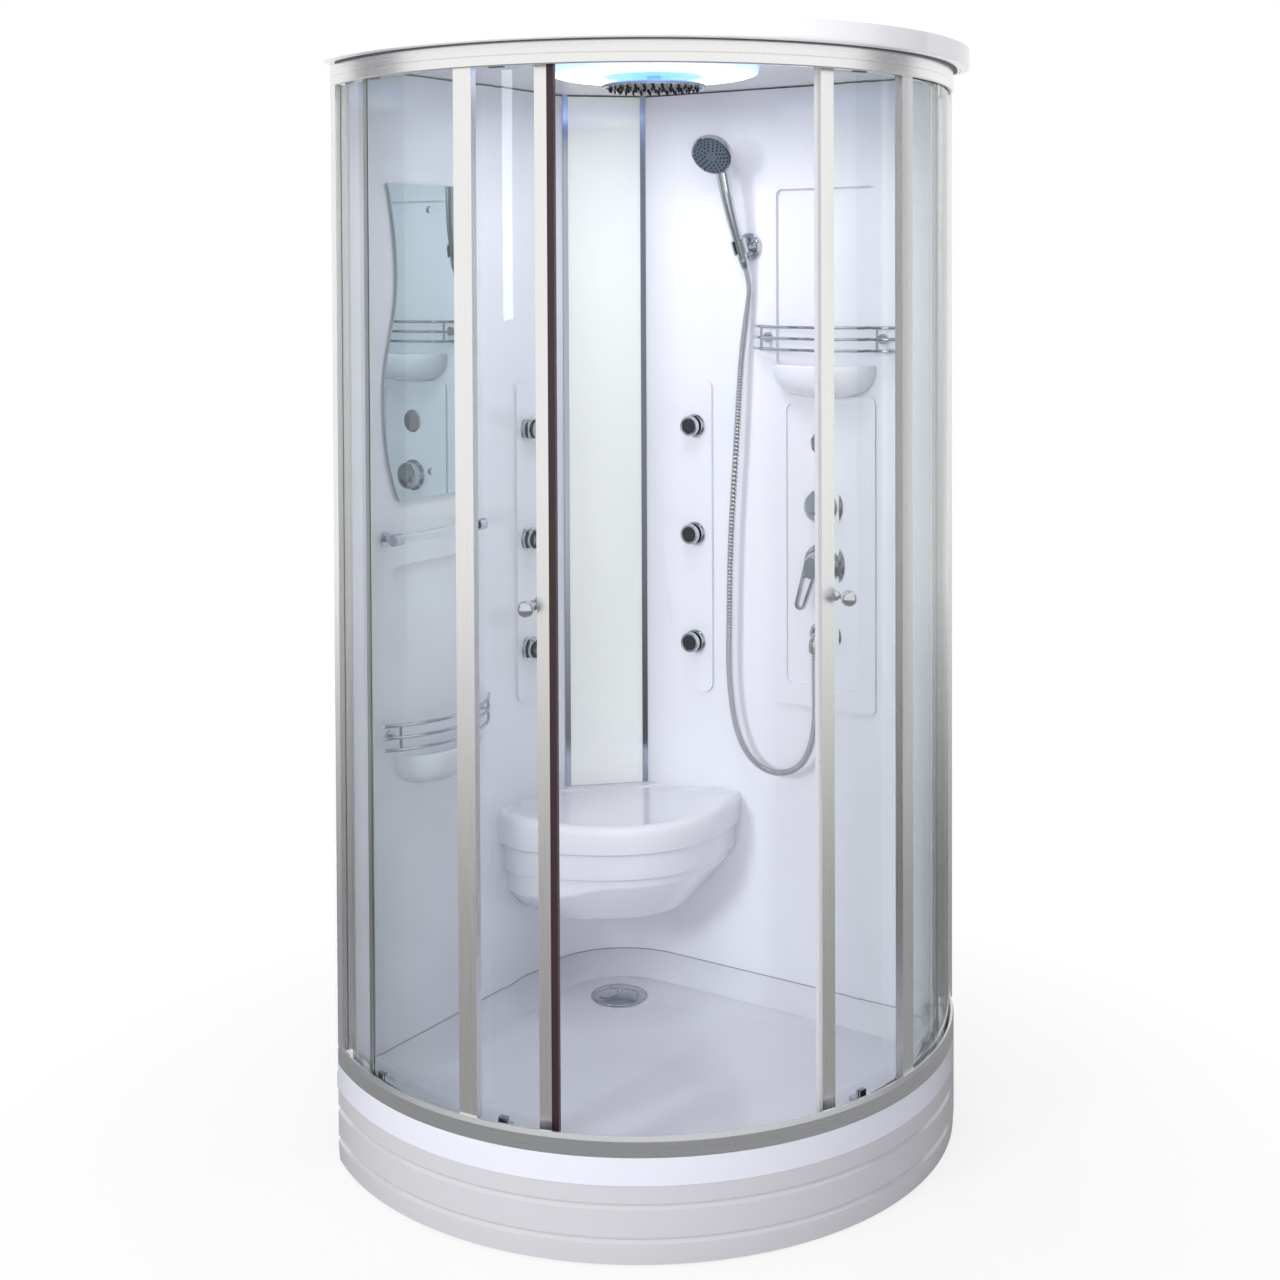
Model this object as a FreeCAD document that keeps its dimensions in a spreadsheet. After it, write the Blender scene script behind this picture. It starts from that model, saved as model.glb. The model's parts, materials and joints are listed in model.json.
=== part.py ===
import FreeCAD, Part
import math
import os
import re

import Sketcher
from FreeCAD import Matrix, Placement, Rotation, Vector

# Quarter-round steam shower cabin: a curved sliding-door front on a low tray, two moulded back
# walls, a corner seat, a roof with a lamp ring, and the water fittings on the right wall.
# Every place is measured from the centre of the front arc. The back corner of the cabin lies
# towards -X +Y, the doors open towards +X -Y, and Z is up from the floor.

SIZES = {
    # plan of the whole cabin
    "skirt_radius": 640.0,
    "roof_radius": 672.0,
    "back_offset": 360.0,
    "wall_offset": 334.0,
    "rail_half_angle": 77.4,
    "seat_gap": 0.3,
    # heights of the seams
    "tray_lip": 141.0,
    "tray_ledge": 169.0,
    "curb_top": 190.0,
    "ceiling_height": 2112.5,
    "cabin_height": 2150.0,
    # tray
    "tray_corner_round": 30.0,
    "tray_heel_round": 12.0,
    "curb_inner_radius": 584.0,
    "basin_front_round": 60.0,
    "basin_heel_round": 200.0,
    "basin_cove": 56.0,
    "floor_high": 126.0,
    "floor_low": 117.0,
    "tray_under": 106.0,
    "tray_wall": 9.0,
    "drain_offset": 170.0,
    "drain_hole_radius": 45.0,
    "drain_sink_radius": 62.0,
    "floor_dish_share": 0.2,
    # drain
    "drain_flange_radius": 56.0,
    "drain_flange_rise": 2.0,
    "drain_bore": 40.0,
    "trap_radius": 52.0,
    "trap_bottom": 38.0,
    "trap_floor": 4.0,
    "trap_pipe_radius": 20.0,
    "trap_pipe_wall": 2.5,
    "trap_pipe_height": 62.0,
    "trap_pipe_reach": 352.0,
    "trap_spigot": 60.0,
    "trap_hub_wall": 1.0,
    "cover_radius": 58.0,
    "cover_rise": 9.0,
    "cover_edge": 3.0,
    "cover_stem_radius": 30.0,
    "cover_stem_drop": 22.0,
    "cover_stem_wall": 3.0,
    "cover_groove": 2.0,
    "cover_swirl_radius": 46.0,
    "cover_swirl_gap": 6.0,
    # steel frame and feet
    "frame_top": 105.7,
    "frame_tube": 22.0,
    "frame_reach": 370.0,
    "frame_inset": 85.0,
    "foot_radius": 26.0,
    "foot_pad": 6.0,
    "foot_stem": 6.0,
    "foot_nut_radius": 11.0,
    "foot_nut_height": 8.0,
    # skirt
    "skirt_wall": 4.0,
    "skirt_bottom": 3.0,
    "skirt_low_groove": 45.6,
    "skirt_high_groove": 104.8,
    "skirt_groove_depth": 4.0,
    "skirt_groove_half": 6.0,
    # rails
    "rail_inner_radius": 586.0,
    "rail_plate": 4.0,
    "rail_lip": 6.0,
    "rail_web": 3.0,
    "low_rail_height": 37.0,
    "top_rail_height": 41.0,
    "rail_bevel": 2.0,
    "rail_bevel_height": 9.0,
    "glazing_radius": 619.0,
    "glazing_width": 4.0,
    "glazing_rise": 12.0,
    "rail_groove_height": 24.0,
    "rail_groove_depth": 1.0,
    "rail_groove_width": 2.0,
    "track_radius": 595.0,
    "track_width": 3.0,
    "low_track_rise": 9.0,
    "top_track_rise": 4.0,
    "low_web_rise": 5.0,
    "ledge_height": 2077.0,
    "ledge_wall": 3.0,
    "ledge_width": 12.0,
    # fixed glass, posts and wall profiles
    "glass_wall": 5.0,
    "fixed_glass_radius": 625.0,
    "post_angle": 38.5,
    "post_span": 3.4,
    "post_inner_radius": 618.0,
    "post_bite": 1.1,
    "jamb_span": 2.95,
    "jamb_bite": 1.2,
    "jamb_inner_radius": 612.0,
    # doors
    "door_glass_radius": 606.0,
    "door_span": 42.3,
    "left_rest_angle": 24.9,
    "right_rest_angle": 19.8,
    "door_bottom": 202.0,
    "door_top": 2104.0,
    "stile_span": 2.07,
    "stile_top": 2100.0,
    "stile_inner_radius": 601.0,
    "stile_outer_radius": 617.0,
    "stile_bottom": 197.0,
    "stile_bite": 0.75,
    "seal_span": 1.13,
    "seal_inner_radius": 602.0,
    "seal_outer_radius": 616.0,
    "strip_span": 0.5,
    "strip_wall": 2.0,
    "tail_span": 0.95,
    "tail_bite": 0.7,
    "tail_wall": 2.5,
    # door knobs
    "knob_height": 1135.0,
    "knob_from_edge": 4.2,
    "knob_base_radius": 9.0,
    "knob_base_depth": 7.0,
    "knob_neck_radius": 4.0,
    "knob_reach": 32.0,
    "knob_ball_radius": 14.5,
    "knob_inner_reach": 34.0,
    "knob_inner_ball": 11.0,
    "knob_bolt": 4.0,
    # door carriers and rollers
    "carrier_near_angle": 10.0,
    "carrier_far_angle": 38.6,
    "carrier_span": 2.8,
    "carrier_drop": 22.0,
    "carrier_rise": 10.0,
    "carrier_plate": 5.0,
    "carrier_cap": 2.5,
    "carrier_bolt": 4.0,
    "carrier_bolt_drop": 13.0,
    "axle_head": 5.0,
    "axle_head_wall": 1.4,
    "roller_radius": 12.0,
    "roller_groove_radius": 9.5,
    "roller_width": 7.0,
    "roller_flange": 1.5,
    "axle_radius": 3.0,
    "bearing_gap": 0.05,
    "running_gap": 0.3,
    "guide_span": 1.6,
    "guide_plate_top": 226.0,
    "guide_bolt_height": 217.0,
    "guide_block_top": 208.0,
    "guide_inner_radius": 584.5,
    # wall panels
    "wall_sheet": 4.0,
    "wall_reach": 529.0,
    "wall_corner_reach": 200.0,
    "wall_low_reach": 134.0,
    "wall_notch_top": 552.0,
    "pilaster_start": 452.0,
    "pilaster_rise": 12.0,
    "pilaster_round": 8.0,
    "niche_centre": 258.0,
    "niche_width": 240.0,
    "niche_height": 380.0,
    "niche_depth": 10.0,
    "niche_round": 14.0,
    "left_shelf_height": 751.0,
    "right_shelf_height": 1513.0,
    "shelf_reach": 72.0,
    "shelf_drop": 64.0,
    "shelf_dish": 8.0,
    "shelf_rim": 9.0,
    "shelf_foot_width": 110.0,
    "shelf_foot_reach": 16.0,
    "plaque_rise": 6.0,
    "plaque_half": 120.0,
    "plaque_bottom": 779.0,
    "plaque_recess": 5.0,
    "plaque_recess_half": 92.0,
    "plaque_recess_bottom": 826.0,
    "plaque_recess_top": 1430.0,
    "jet_plaque_edge": 22.0,
    "jet_plaque_bow": 150.0,
    "jet_plaque_end": 70.0,
    "jet_plaque_bottom": 780.0,
    "jet_plaque_top": 1478.0,
    "jet_plaque_turn": 20.0,
    "jet_plaque_rise": 8.0,
    # corner panel, trims and seat
    "corner_panel_wall": 5.0,
    "trim_width": 12.0,
    "trim_wall": 2.5,
    "seat_centre": 89.0,
    "seat_top": 552.0,
    "seat_radius": 305.0,
    "seat_step": 12.0,
    "seat_first_drop": 59.0,
    "seat_second_drop": 57.0,
    "seat_third_drop": 26.0,
    "seat_wall": 5.0,
    "seat_bottom": 316.0,
    "seat_bottom_radius": 200.0,
    "seat_round": 16.0,
    "seat_dish": 5.0,
    "seat_rim": 26.0,
    "column_radius": 200.0,
    "column_wall": 5.0,
    # roof, lamp and overhead shower
    "roof_corner_round": 120.0,
    "roof_heel_round": 14.0,
    "roof_wall": 5.0,
    "roof_taper": 20.0,
    "roof_turn": 12.0,
    "lamp_offset": 120.0,
    "lamp_radius": 206.0,
    "lamp_wall": 3.0,
    "lamp_drop": 15.5,
    "lamp_dish": 4.0,
    "lamp_bore": 20.0,
    "rose_radius": 102.0,
    "rose_drop": 33.0,
    "rose_edge": 5.0,
    "rose_crown": 7.0,
    "rose_stem": 14.0,
    "nozzle_plate_radius": 95.0,
    "nozzle_plate_wall": 3.0,
    "nozzle_radius": 3.2,
    "nozzle_tip": 2.0,
    "nozzle_pitch": 28.0,
    # mirror and towel bar
    "mirror_wall": 5.0,
    "mirror_gap": 3.0,
    "mirror_left": 396.0,
    "mirror_width": 232.0,
    "mirror_bottom": 1262.0,
    "mirror_height": 631.0,
    "mirror_wave": 38.0,
    "stud_radius": 8.0,
    "stud_head": 4.0,
    "stud_pin": 3.0,
    "stud_inset": 50.0,
    "bar_height": 1191.0,
    "bar_far": 412.0,
    "bar_near": 139.0,
    "bar_radius": 9.0,
    "bar_standoff": 34.0,
    "bar_rose": 14.0,
    "bar_rose_depth": 6.0,
    "bar_arm": 6.0,
    "bar_socket": 12.0,
    "bar_socket_length": 22.0,
    # racks
    "rack_half": 168.0,
    "rack_bow": 62.0,
    "rack_end_gap": 10.0,
    "rack_rod": 3.5,
    "rack_pitch": 24.0,
    "rack_rows": 3.0,
    "rack_post": 138.0,
    "rack_post_rod": 3.0,
    "rack_foot_radius": 11.0,
    "rack_foot_depth": 6.0,
    "left_rack_height": 774.0,
    "right_rack_height": 1549.0,
    # valves, outlet and blank plate on the right wall
    "valve_across": 252.0,
    "blank_height": 1348.0,
    "diverter_height": 1213.0,
    "mixer_height": 1088.0,
    "outlet_height": 935.0,
    "blank_radius": 28.0,
    "blank_depth": 3.0,
    "mixer_flange_radius": 45.0,
    "diverter_flange_radius": 38.5,
    "outlet_flange_radius": 31.5,
    "flange_depth": 8.0,
    "flange_edge": 2.0,
    "valve_sleeve": 20.0,
    "valve_body_radius": 28.0,
    "valve_depth": 20.0,
    "spindle_radius": 8.0,
    "spindle_reach": 20.0,
    "inlet_radius": 10.4,
    "inlet_neck": 7.5,
    "inlet_spread": 18.0,
    "inlet_drop": 55.0,
    "cap_radius": 30.0,
    "cap_top": 46.0,
    "cap_edge": 28.0,
    "cap_floor": 25.0,
    "lever_pivot": 33.0,
    "lever_neck": 6.0,
    "lever_slot_gap": 0.8,
    "lever_lift_room": 6.0,
    "lever_axle": 3.0,
    "lever_axle_half": 16.0,
    "lever_turn": 18.0,
    "lever_start": 49.0,
    "lever_wall": 8.0,
    "lever_up": 22.0,
    "lever_down": 96.0,
    "lever_half": 17.0,
    "lever_tip_half": 12.0,
    "lever_ring": 6.5,
    "knob_turn_radius": 32.0,
    "knob_turn_top": 42.0,
    "knob_turn_crown": 15.0,
    "knob_flat_depth": 9.0,
    "elbow_radius": 13.0,
    "elbow_reach": 38.0,
    "elbow_drop": 30.0,
    "outlet_pipe": 9.0,
    # water pipes in the gap behind the walls
    "pipe_radius": 7.0,
    "jet_pipe_radius": 6.0,
    "pipe_start": 12.0,
    "pipe_depth": 14.5,
    "pipe_bend": 16.0,
    "riser_across": 400.0,
    "riser_drop": 9.0,
    "link_across": 47.0,
    "corner_pipe": 225.0,
    "manifold_rise": 49.0,
    # jets
    "jet_across": 64.0,
    "jet_top": 1373.0,
    "jet_pitch": 241.0,
    "jet_count": 3.0,
    "jet_flange": 25.5,
    "jet_flange_depth": 3.0,
    "jet_collar": 22.5,
    "jet_collar_top": 11.0,
    "jet_ball": 18.0,
    "jet_ball_height": 5.0,
    "jet_stub": 21.0,
    "jet_back": 28.0,
    "jet_head": 21.0,
    "jet_head_start": 19.0,
    "jet_head_end": 29.0,
    "jet_face": 17.0,
    "jet_face_depth": 1.2,
    "jet_hole": 1.3,
    "jet_hole_ring": 11.0,
    # hand shower
    "handset_across": 74.0,
    "holder_height": 1769.0,
    "holder_reach": 45.0,
    "holder_rose": 21.0,
    "holder_rose_depth": 7.0,
    "holder_arm": 9.0,
    "holder_arm_end": 22.0,
    "holder_pin": 5.0,
    "holder_pin_end": 29.0,
    "clip_radius": 17.0,
    "clip_half": 15.0,
    "clip_slot_half": 7.0,
    "handle_radius": 12.0,
    "handle_tail": 26.0,
    "handle_belly": 14.5,
    "handle_neck": 14.0,
    "handle_reach": 168.0,
    "handset_lean_side": 27.0,
    "handset_lean_out": 65.0,
    "handset_lean_up": 200.0,
    "head_reach": 212.0,
    "head_radius": 47.0,
    "head_depth": 24.0,
    "head_back": 16.0,
    "head_tilt": 18.0,
    "dial_radius": 41.0,
    "dial_depth": 5.0,
    "dial_pin": 6.0,
    "dial_pin_depth": 12.0,
    "head_front": 8.0,
    "dial_tab_reach": 46.0,
    "dial_tab_width": 9.0,
    "hose_radius": 7.0,
    "hose_nut_radius": 11.0,
    "hose_nut_length": 24.0,
    "hose_straight": 40.0,
    # one overrun serves every cut
    "overrun": 2.0,
}

doc = FreeCAD.newDocument("shower_cabin")
sheet = doc.addObject("Spreadsheet::Sheet", "dims")
for row, (alias, number) in enumerate(SIZES.items(), start=1):
    sheet.set("A%d" % row, alias)
    sheet.set("B%d" % row, str(number))
    sheet.setAlias("B%d" % row, alias)
doc.recompute()


class Sizes:
    """The sheet's numbers, read by their aliases."""


mm = Sizes()
for alias in SIZES:
    setattr(mm, alias, float(getattr(sheet, alias)))

PARTS = {}
UP = Vector(0, 0, 1)
FULL_TURN = 360.0
HALF_TURN = 180.0
QUARTER = 90.0
DIAGONAL = -45.0

# The centre of the front arc, seen from the middle of the cabin's outline.
ARC_X = (mm.back_offset - mm.roof_radius) / 2
ARC_Y = -ARC_X
ARC_CENTRE = Vector(ARC_X, ARC_Y, 0)


def bound(text):
    """An expression with every alias pointed at the sheet."""
    return re.sub(r"[a-z_]+", lambda m: "dims." + m.group(0) if m.group(0) in SIZES else m.group(0), text)


def new_body(label):
    body = doc.addObject("PartDesign::Body", label)
    body.Label = label
    return body


def new_sketch(body, role, lift=None):
    plane = [item for item in body.Origin.OriginFeatures if item.Role == role][0]
    sketch = body.newObject("Sketcher::SketchObject", body.Name + "Sketch")
    sketch.AttachmentSupport = (plane, [""])
    sketch.MapMode = "FlatFace"
    if lift:
        sketch.setExpression("AttachmentOffset.Base.z", bound(lift))
    return sketch


def pin_point(sketch, name, geometry, point, x_text, y_text):
    """Hold one sketch point at two sheet expressions."""
    if x_text == "0":
        sketch.addConstraint(Sketcher.Constraint("PointOnObject", geometry, point, -2))
    else:
        index = sketch.addConstraint(Sketcher.Constraint("DistanceX", -1, 1, geometry, point, 1.0))
        sketch.renameConstraint(index, name + "x")
        sketch.setExpression("Constraints." + name + "x", bound(x_text))
    if y_text == "0":
        sketch.addConstraint(Sketcher.Constraint("PointOnObject", geometry, point, -1))
    else:
        index = sketch.addConstraint(Sketcher.Constraint("DistanceY", -1, 1, geometry, point, 1.0))
        sketch.renameConstraint(index, name + "y")
        sketch.setExpression("Constraints." + name + "y", bound(y_text))


def outline(body, role, corners, lift=None):
    """A closed sketch of straight edges through corners given as pairs of expressions."""
    sketch = new_sketch(body, role, lift)
    count = len(corners)
    turn = 2 * math.pi / count
    start = [Vector(math.cos(i * turn), math.sin(i * turn), 0) for i in range(count)]
    for i in range(count):
        sketch.addGeometry(Part.LineSegment(start[i], start[(i + 1) % count]))
    for i in range(count):
        sketch.addConstraint(Sketcher.Constraint("Coincident", i, 2, (i + 1) % count, 1))
    for i, (x_text, y_text) in enumerate(corners):
        pin_point(sketch, "p%d" % i, i, 1, x_text, y_text)
    return sketch


def turn_profile(body, sketch, angle="360"):
    """Turn a profile about the body's upright axis, evenly to both sides of its plane."""
    feature = body.newObject("PartDesign::Revolution", body.Name + "Turn")
    feature.Profile = sketch
    feature.ReferenceAxis = (sketch, ["V_Axis"])
    feature.Midplane = True
    feature.setExpression("Angle", bound(angle))
    return feature


def pad(body, sketch, length, midplane=False):
    feature = body.newObject("PartDesign::Pad", body.Name + "Pad")
    feature.Profile = sketch
    feature.setExpression("Length", bound(length))
    feature.Midplane = midplane
    return feature


def turned(label, corners, angle="360"):
    """A body turned from one profile of radius and height."""
    body = new_body(label)
    turn_profile(body, outline(body, "XZ_Plane", corners), angle)
    return body


def moulded(label, shape):
    """A free-form piece whose solid is made in code from the sheet's sizes."""
    piece = doc.addObject("Part::Feature", label)
    piece.Label = label
    piece.Shape = shape
    return piece


def keep(label, piece, placement):
    """Place a piece and list it for export under its own name."""
    piece.Placement = placement.multiply(piece.Placement)
    PARTS[label] = piece
    return piece


def around(angle, height=0.0):
    """The arc centre, turned so that local X points at an angle from the cabin's diagonal."""
    return Placement(ARC_CENTRE + UP * height, Rotation(UP, angle + DIAGONAL))


def at_arc_centre():
    return Placement(ARC_CENTRE, Rotation())


def radial(angle, radius, height):
    """Local Z points outwards from the arc centre, local X is upright."""
    turn = math.radians(angle + DIAGONAL)
    out = Vector(math.cos(turn), math.sin(turn), 0)
    side = out.cross(UP)
    grid = Matrix(0, side.x, out.x, 0, 0, side.y, out.y, 0, 1, side.z, out.z, 0, 0, 0, 0, 1)
    return Placement(ARC_CENTRE + out * radius + UP * height, Rotation(grid))


def on_right(across, height, rise=0.0):
    """A place on the right wall: local Z points into the cabin."""
    spot = ARC_CENTRE + Vector(across, mm.wall_offset - rise, height)
    return Placement(spot, Rotation(Vector(1, 0, 0), QUARTER))


def on_left(across, height, rise=0.0):
    """A place on the left wall, at the same distance from the corner as its right-hand twin."""
    spot = ARC_CENTRE + Vector(rise - mm.wall_offset, -across, height)
    return Placement(spot, Rotation(Vector(0, 1, 0), QUARTER))


def gather(label, pieces):
    """Several loose solids of one kind, kept as one node."""
    return moulded(label, Part.makeCompound(pieces))


def placed(shape, placement):
    copy = shape.copy()
    copy.Placement = placement.multiply(shape.Placement)
    return copy


def twin(shape):
    """The mirror image across the cabin's diagonal, about the arc centre's own axes."""
    return shape.mirror(Vector(0, 0, 0), Vector(1, 1, 0))


def plan_wire(radius, back, front_round, heel_round, height):
    """The cabin's plan at one level: the front arc, two straight backs and rounded corners."""
    inner = radius - front_round
    side = back - front_round
    low = -math.sqrt(inner * inner - side * side)
    centre = Vector(-side, low, height)
    flat = Vector(centre.x, centre.y, 0)
    out = flat * (1 / flat.Length)
    left_line = Vector(-back, low, height)
    left_arc = centre + out * front_round
    middle = (out + Vector(-1, 0, 0)).normalize()
    left_mid = centre + middle * front_round
    mirror = [Vector(-p.y, -p.x, p.z) for p in (left_line, left_mid, left_arc)]
    share = math.sqrt(2) / 2
    front = Vector(radius * share, -radius * share, height)
    heel = Vector(-back + heel_round, back - heel_round, height)
    heel_mid = heel + Vector(-share, share, 0) * heel_round
    heel_left = Vector(-back, back - heel_round, height)
    heel_right = Vector(-back + heel_round, back, height)
    edges = [
        Part.LineSegment(heel_left, left_line),
        Part.Arc(left_line, left_mid, left_arc),
        Part.Arc(left_arc, front, mirror[2]),
        Part.Arc(mirror[2], mirror[1], mirror[0]),
        Part.LineSegment(mirror[0], heel_right),
        Part.Arc(heel_right, heel_mid, heel_left),
    ]
    return Part.Wire([edge.toShape() for edge in edges])


def slab(wire, height):
    return Part.Face(wire).extrude(UP * height)


def tube_along(points, radius, bends):
    """A rod through points, with every corner rounded by the given radius."""
    edges = []
    last = points[0]
    for i in range(1, len(points) - 1):
        a = (points[i - 1] - points[i]).normalize()
        b = (points[i + 1] - points[i]).normalize()
        half_turn = (math.pi - a.getAngle(b)) / 2
        reach = bends[i - 1] * math.tan(half_turn)
        start = points[i] + a * reach
        end = points[i] + b * reach
        middle_way = (a + b).normalize()
        depth = bends[i - 1] / math.cos(half_turn) - bends[i - 1]
        edges.append(Part.LineSegment(last, start).toShape())
        edges.append(Part.Arc(start, points[i] + middle_way * depth, end).toShape())
        last = end
    edges.append(Part.LineSegment(last, points[-1]).toShape())
    path = Part.Wire(edges)
    first_way = (points[1] - points[0]).normalize()
    ring = Part.Wire([Part.makeCircle(radius, points[0], first_way)])
    return path.makePipeShell([ring], True, False)


# Tray: a rimmed slab with a coved basin that falls to the drain.

DRAIN = Vector(-mm.drain_offset, mm.drain_offset, 0)


def make_tray():
    rim = slab(plan_wire(mm.skirt_radius, mm.back_offset, mm.tray_corner_round, mm.tray_heel_round,
                         mm.tray_lip), mm.tray_ledge - mm.tray_lip)
    curb = Part.makeCylinder(mm.skirt_radius, mm.curb_top - mm.tray_ledge, Vector(0, 0, mm.tray_ledge),
                             UP, 2 * mm.rail_half_angle)
    curb.rotate(Vector(0, 0, 0), UP, DIAGONAL - mm.rail_half_angle)
    rise = mm.curb_top - mm.tray_ledge + 2 * mm.overrun
    curb = curb.cut(Part.makeCylinder(mm.curb_inner_radius, rise, Vector(0, 0, mm.tray_ledge - mm.overrun)))
    under_wires = [
        plan_wire(mm.curb_inner_radius + mm.tray_wall, mm.wall_offset + mm.tray_wall,
                  mm.basin_front_round, mm.basin_heel_round, mm.tray_lip),
        plan_wire(mm.curb_inner_radius + mm.tray_wall - mm.basin_cove,
                  mm.wall_offset + mm.tray_wall - mm.basin_cove,
                  mm.basin_front_round, mm.basin_heel_round - mm.basin_cove, mm.tray_under),
    ]
    under = Part.makeLoft(under_wires, True, True)
    body = rim.fuse([curb, under])
    floor_wire = plan_wire(mm.curb_inner_radius - mm.basin_cove, mm.wall_offset - mm.basin_cove,
                           mm.basin_front_round, mm.basin_heel_round - mm.basin_cove, mm.floor_high)
    mouth = plan_wire(mm.curb_inner_radius, mm.wall_offset, mm.basin_front_round,
                      mm.basin_heel_round, mm.tray_ledge)
    basin = Part.makeLoft([mouth, floor_wire], True, True)
    squash = Matrix()
    squash.scale(mm.floor_dish_share, mm.floor_dish_share, 1)
    squash.move(Vector(DRAIN.x * (1 - mm.floor_dish_share), DRAIN.y * (1 - mm.floor_dish_share),
                       mm.floor_low - mm.floor_high))
    dish_wire = floor_wire.transformGeometry(squash)
    dish = Part.makeLoft([floor_wire, dish_wire], True, True)
    sink = Part.makeCylinder(mm.drain_sink_radius, mm.curb_top, DRAIN + UP * mm.floor_low)
    hole = Part.makeCylinder(mm.drain_hole_radius, mm.curb_top, DRAIN)
    return body.cut([basin, dish, sink, hole]).removeSplitter()


keep("tray", moulded("tray", make_tray()), at_arc_centre())

SKIRT = [
    ("skirt_radius - skirt_wall - skirt_groove_depth", "skirt_bottom"),
    ("skirt_radius - rail_bevel", "skirt_bottom"),
    ("skirt_radius", "skirt_low_groove - 2 * skirt_groove_half"),
    ("skirt_radius", "skirt_low_groove - skirt_groove_half"),
    ("skirt_radius - skirt_groove_depth", "skirt_low_groove"),
    ("skirt_radius", "skirt_low_groove + skirt_groove_half"),
    ("skirt_radius", "skirt_high_groove - skirt_groove_half"),
    ("skirt_radius - skirt_groove_depth", "skirt_high_groove"),
    ("skirt_radius", "skirt_high_groove + skirt_groove_half"),
    ("skirt_radius", "tray_lip - seat_gap"),
    ("skirt_radius - skirt_wall - skirt_groove_depth", "tray_lip - seat_gap"),
]
keep("skirt", turned("skirt", SKIRT, "2 * rail_half_angle"), around(0))


# Drain: a chrome ring in the tray floor, the trap below it and the loose domed cover.

RING = [
    ("drain_bore", "tray_under"),
    ("drain_hole_radius", "tray_under"),
    ("drain_hole_radius", "floor_low"),
    ("drain_flange_radius", "floor_low"),
    ("drain_flange_radius - drain_flange_rise", "floor_low + drain_flange_rise"),
    ("drain_bore", "floor_low + drain_flange_rise"),
]
at_drain = Placement(ARC_CENTRE + DRAIN, Rotation())
keep("drain_ring", turned("drain_ring", RING), at_drain)


def make_trap():
    cup = Part.makeCylinder(mm.trap_radius, mm.tray_under - mm.trap_bottom, UP * mm.trap_bottom)
    reach = mm.trap_pipe_reach - mm.drain_offset
    way = Vector(-1, 0, 0)
    mouth = UP * mm.trap_pipe_height
    pipe = Part.makeCylinder(mm.trap_pipe_radius, reach, mouth, way)
    hub = Part.makeCylinder(mm.trap_pipe_radius + mm.trap_hub_wall, reach - mm.trap_spigot, mouth, way)
    bore = Part.makeCylinder(mm.drain_bore, mm.tray_under, UP * (mm.trap_bottom + mm.trap_floor))
    run = Part.makeCylinder(mm.trap_pipe_radius - mm.trap_pipe_wall, reach + mm.overrun, mouth, way)
    return cup.fuse([pipe, hub]).cut([bore, run])


keep("drain_trap", moulded("drain_trap", make_trap()), at_drain)


def make_cover():
    """A dome with three shallow swirls and a hollow stem that drops into the ring."""
    low = mm.floor_low + mm.drain_flange_rise + mm.running_gap
    edge = low + mm.cover_edge
    dome_radius = (mm.cover_radius ** 2 + mm.cover_rise ** 2) / (2 * mm.cover_rise)
    middle = UP * (edge + mm.cover_rise - dome_radius)
    ball = placed(Part.makeSphere(dome_radius), Placement(middle, Rotation(Vector(1, 0, 0), QUARTER)))
    plug = Part.makeCylinder(mm.cover_radius, mm.cover_edge + mm.cover_rise + mm.overrun, UP * low)
    dome = plug.common(ball)
    lower = placed(dome, Placement(UP * -mm.cover_groove, Rotation()))
    bands = []
    half = (mm.cover_swirl_radius - mm.cover_swirl_gap) / 2
    for turn in (0, FULL_TURN / 3, -FULL_TURN / 3):
        centre = Vector(mm.cover_swirl_gap + half, 0, low)
        outer = Part.makeCylinder(half + mm.cover_groove, mm.cover_radius, centre, UP, HALF_TURN)
        inner = Part.makeCylinder(half, mm.cover_radius, centre, UP, HALF_TURN)
        band = outer.cut(inner)
        band.rotate(Vector(0, 0, 0), UP, turn)
        bands.append(band.cut(lower))
    stem = Part.makeCylinder(mm.cover_stem_radius, mm.cover_stem_drop, UP * (low - mm.cover_stem_drop))
    hollow = Part.makeCylinder(mm.cover_stem_radius - mm.cover_stem_wall, mm.cover_stem_drop,
                               UP * (low - mm.cover_stem_drop))
    return dome.cut(bands).fuse(stem).cut(hollow)


keep("drain_cover", moulded("drain_cover", make_cover()), at_drain)


# Steel frame and adjustable feet under the tray.

def frame_spots():
    back = mm.back_offset - mm.frame_inset
    reach = mm.frame_reach
    return [Vector(-back, back, 0), Vector(-back, -reach, 0), Vector(reach, -reach, 0),
            Vector(reach, back, 0)]


def make_frame():
    base = mm.frame_top - mm.frame_tube
    half = mm.frame_tube / 2
    spots = frame_spots()
    bars = []
    for first, second in zip(spots, spots[1:] + spots[:1]):
        along = second - first
        bar = Part.makeBox(along.Length + mm.frame_tube, mm.frame_tube, mm.frame_tube,
                           Vector(-half, -half, 0))
        turn = math.degrees(math.atan2(along.y, along.x))
        bars.append(placed(bar, Placement(first + UP * base, Rotation(UP, turn))))
    return bars[0].fuse(bars[1:]).removeSplitter()


def make_feet():
    base = mm.frame_top - mm.frame_tube
    feet = []
    for spot in frame_spots():
        pad_disc = Part.makeCone(mm.foot_radius, mm.foot_radius - mm.foot_pad / 2, mm.foot_pad, spot)
        stem = Part.makeCylinder(mm.foot_stem, base, spot)
        nut = Part.makeCylinder(mm.foot_nut_radius, mm.foot_nut_height, spot + UP * (base - mm.foot_nut_height))
        feet.append(pad_disc.fuse([stem, nut]))
    return feet


keep("tray_frame", moulded("tray_frame", make_frame()), at_arc_centre())
keep("feet", gather("feet", make_feet()), at_arc_centre())


# Curved rails. The doors hang on the track in the top rail and are guided by the lower one.

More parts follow.
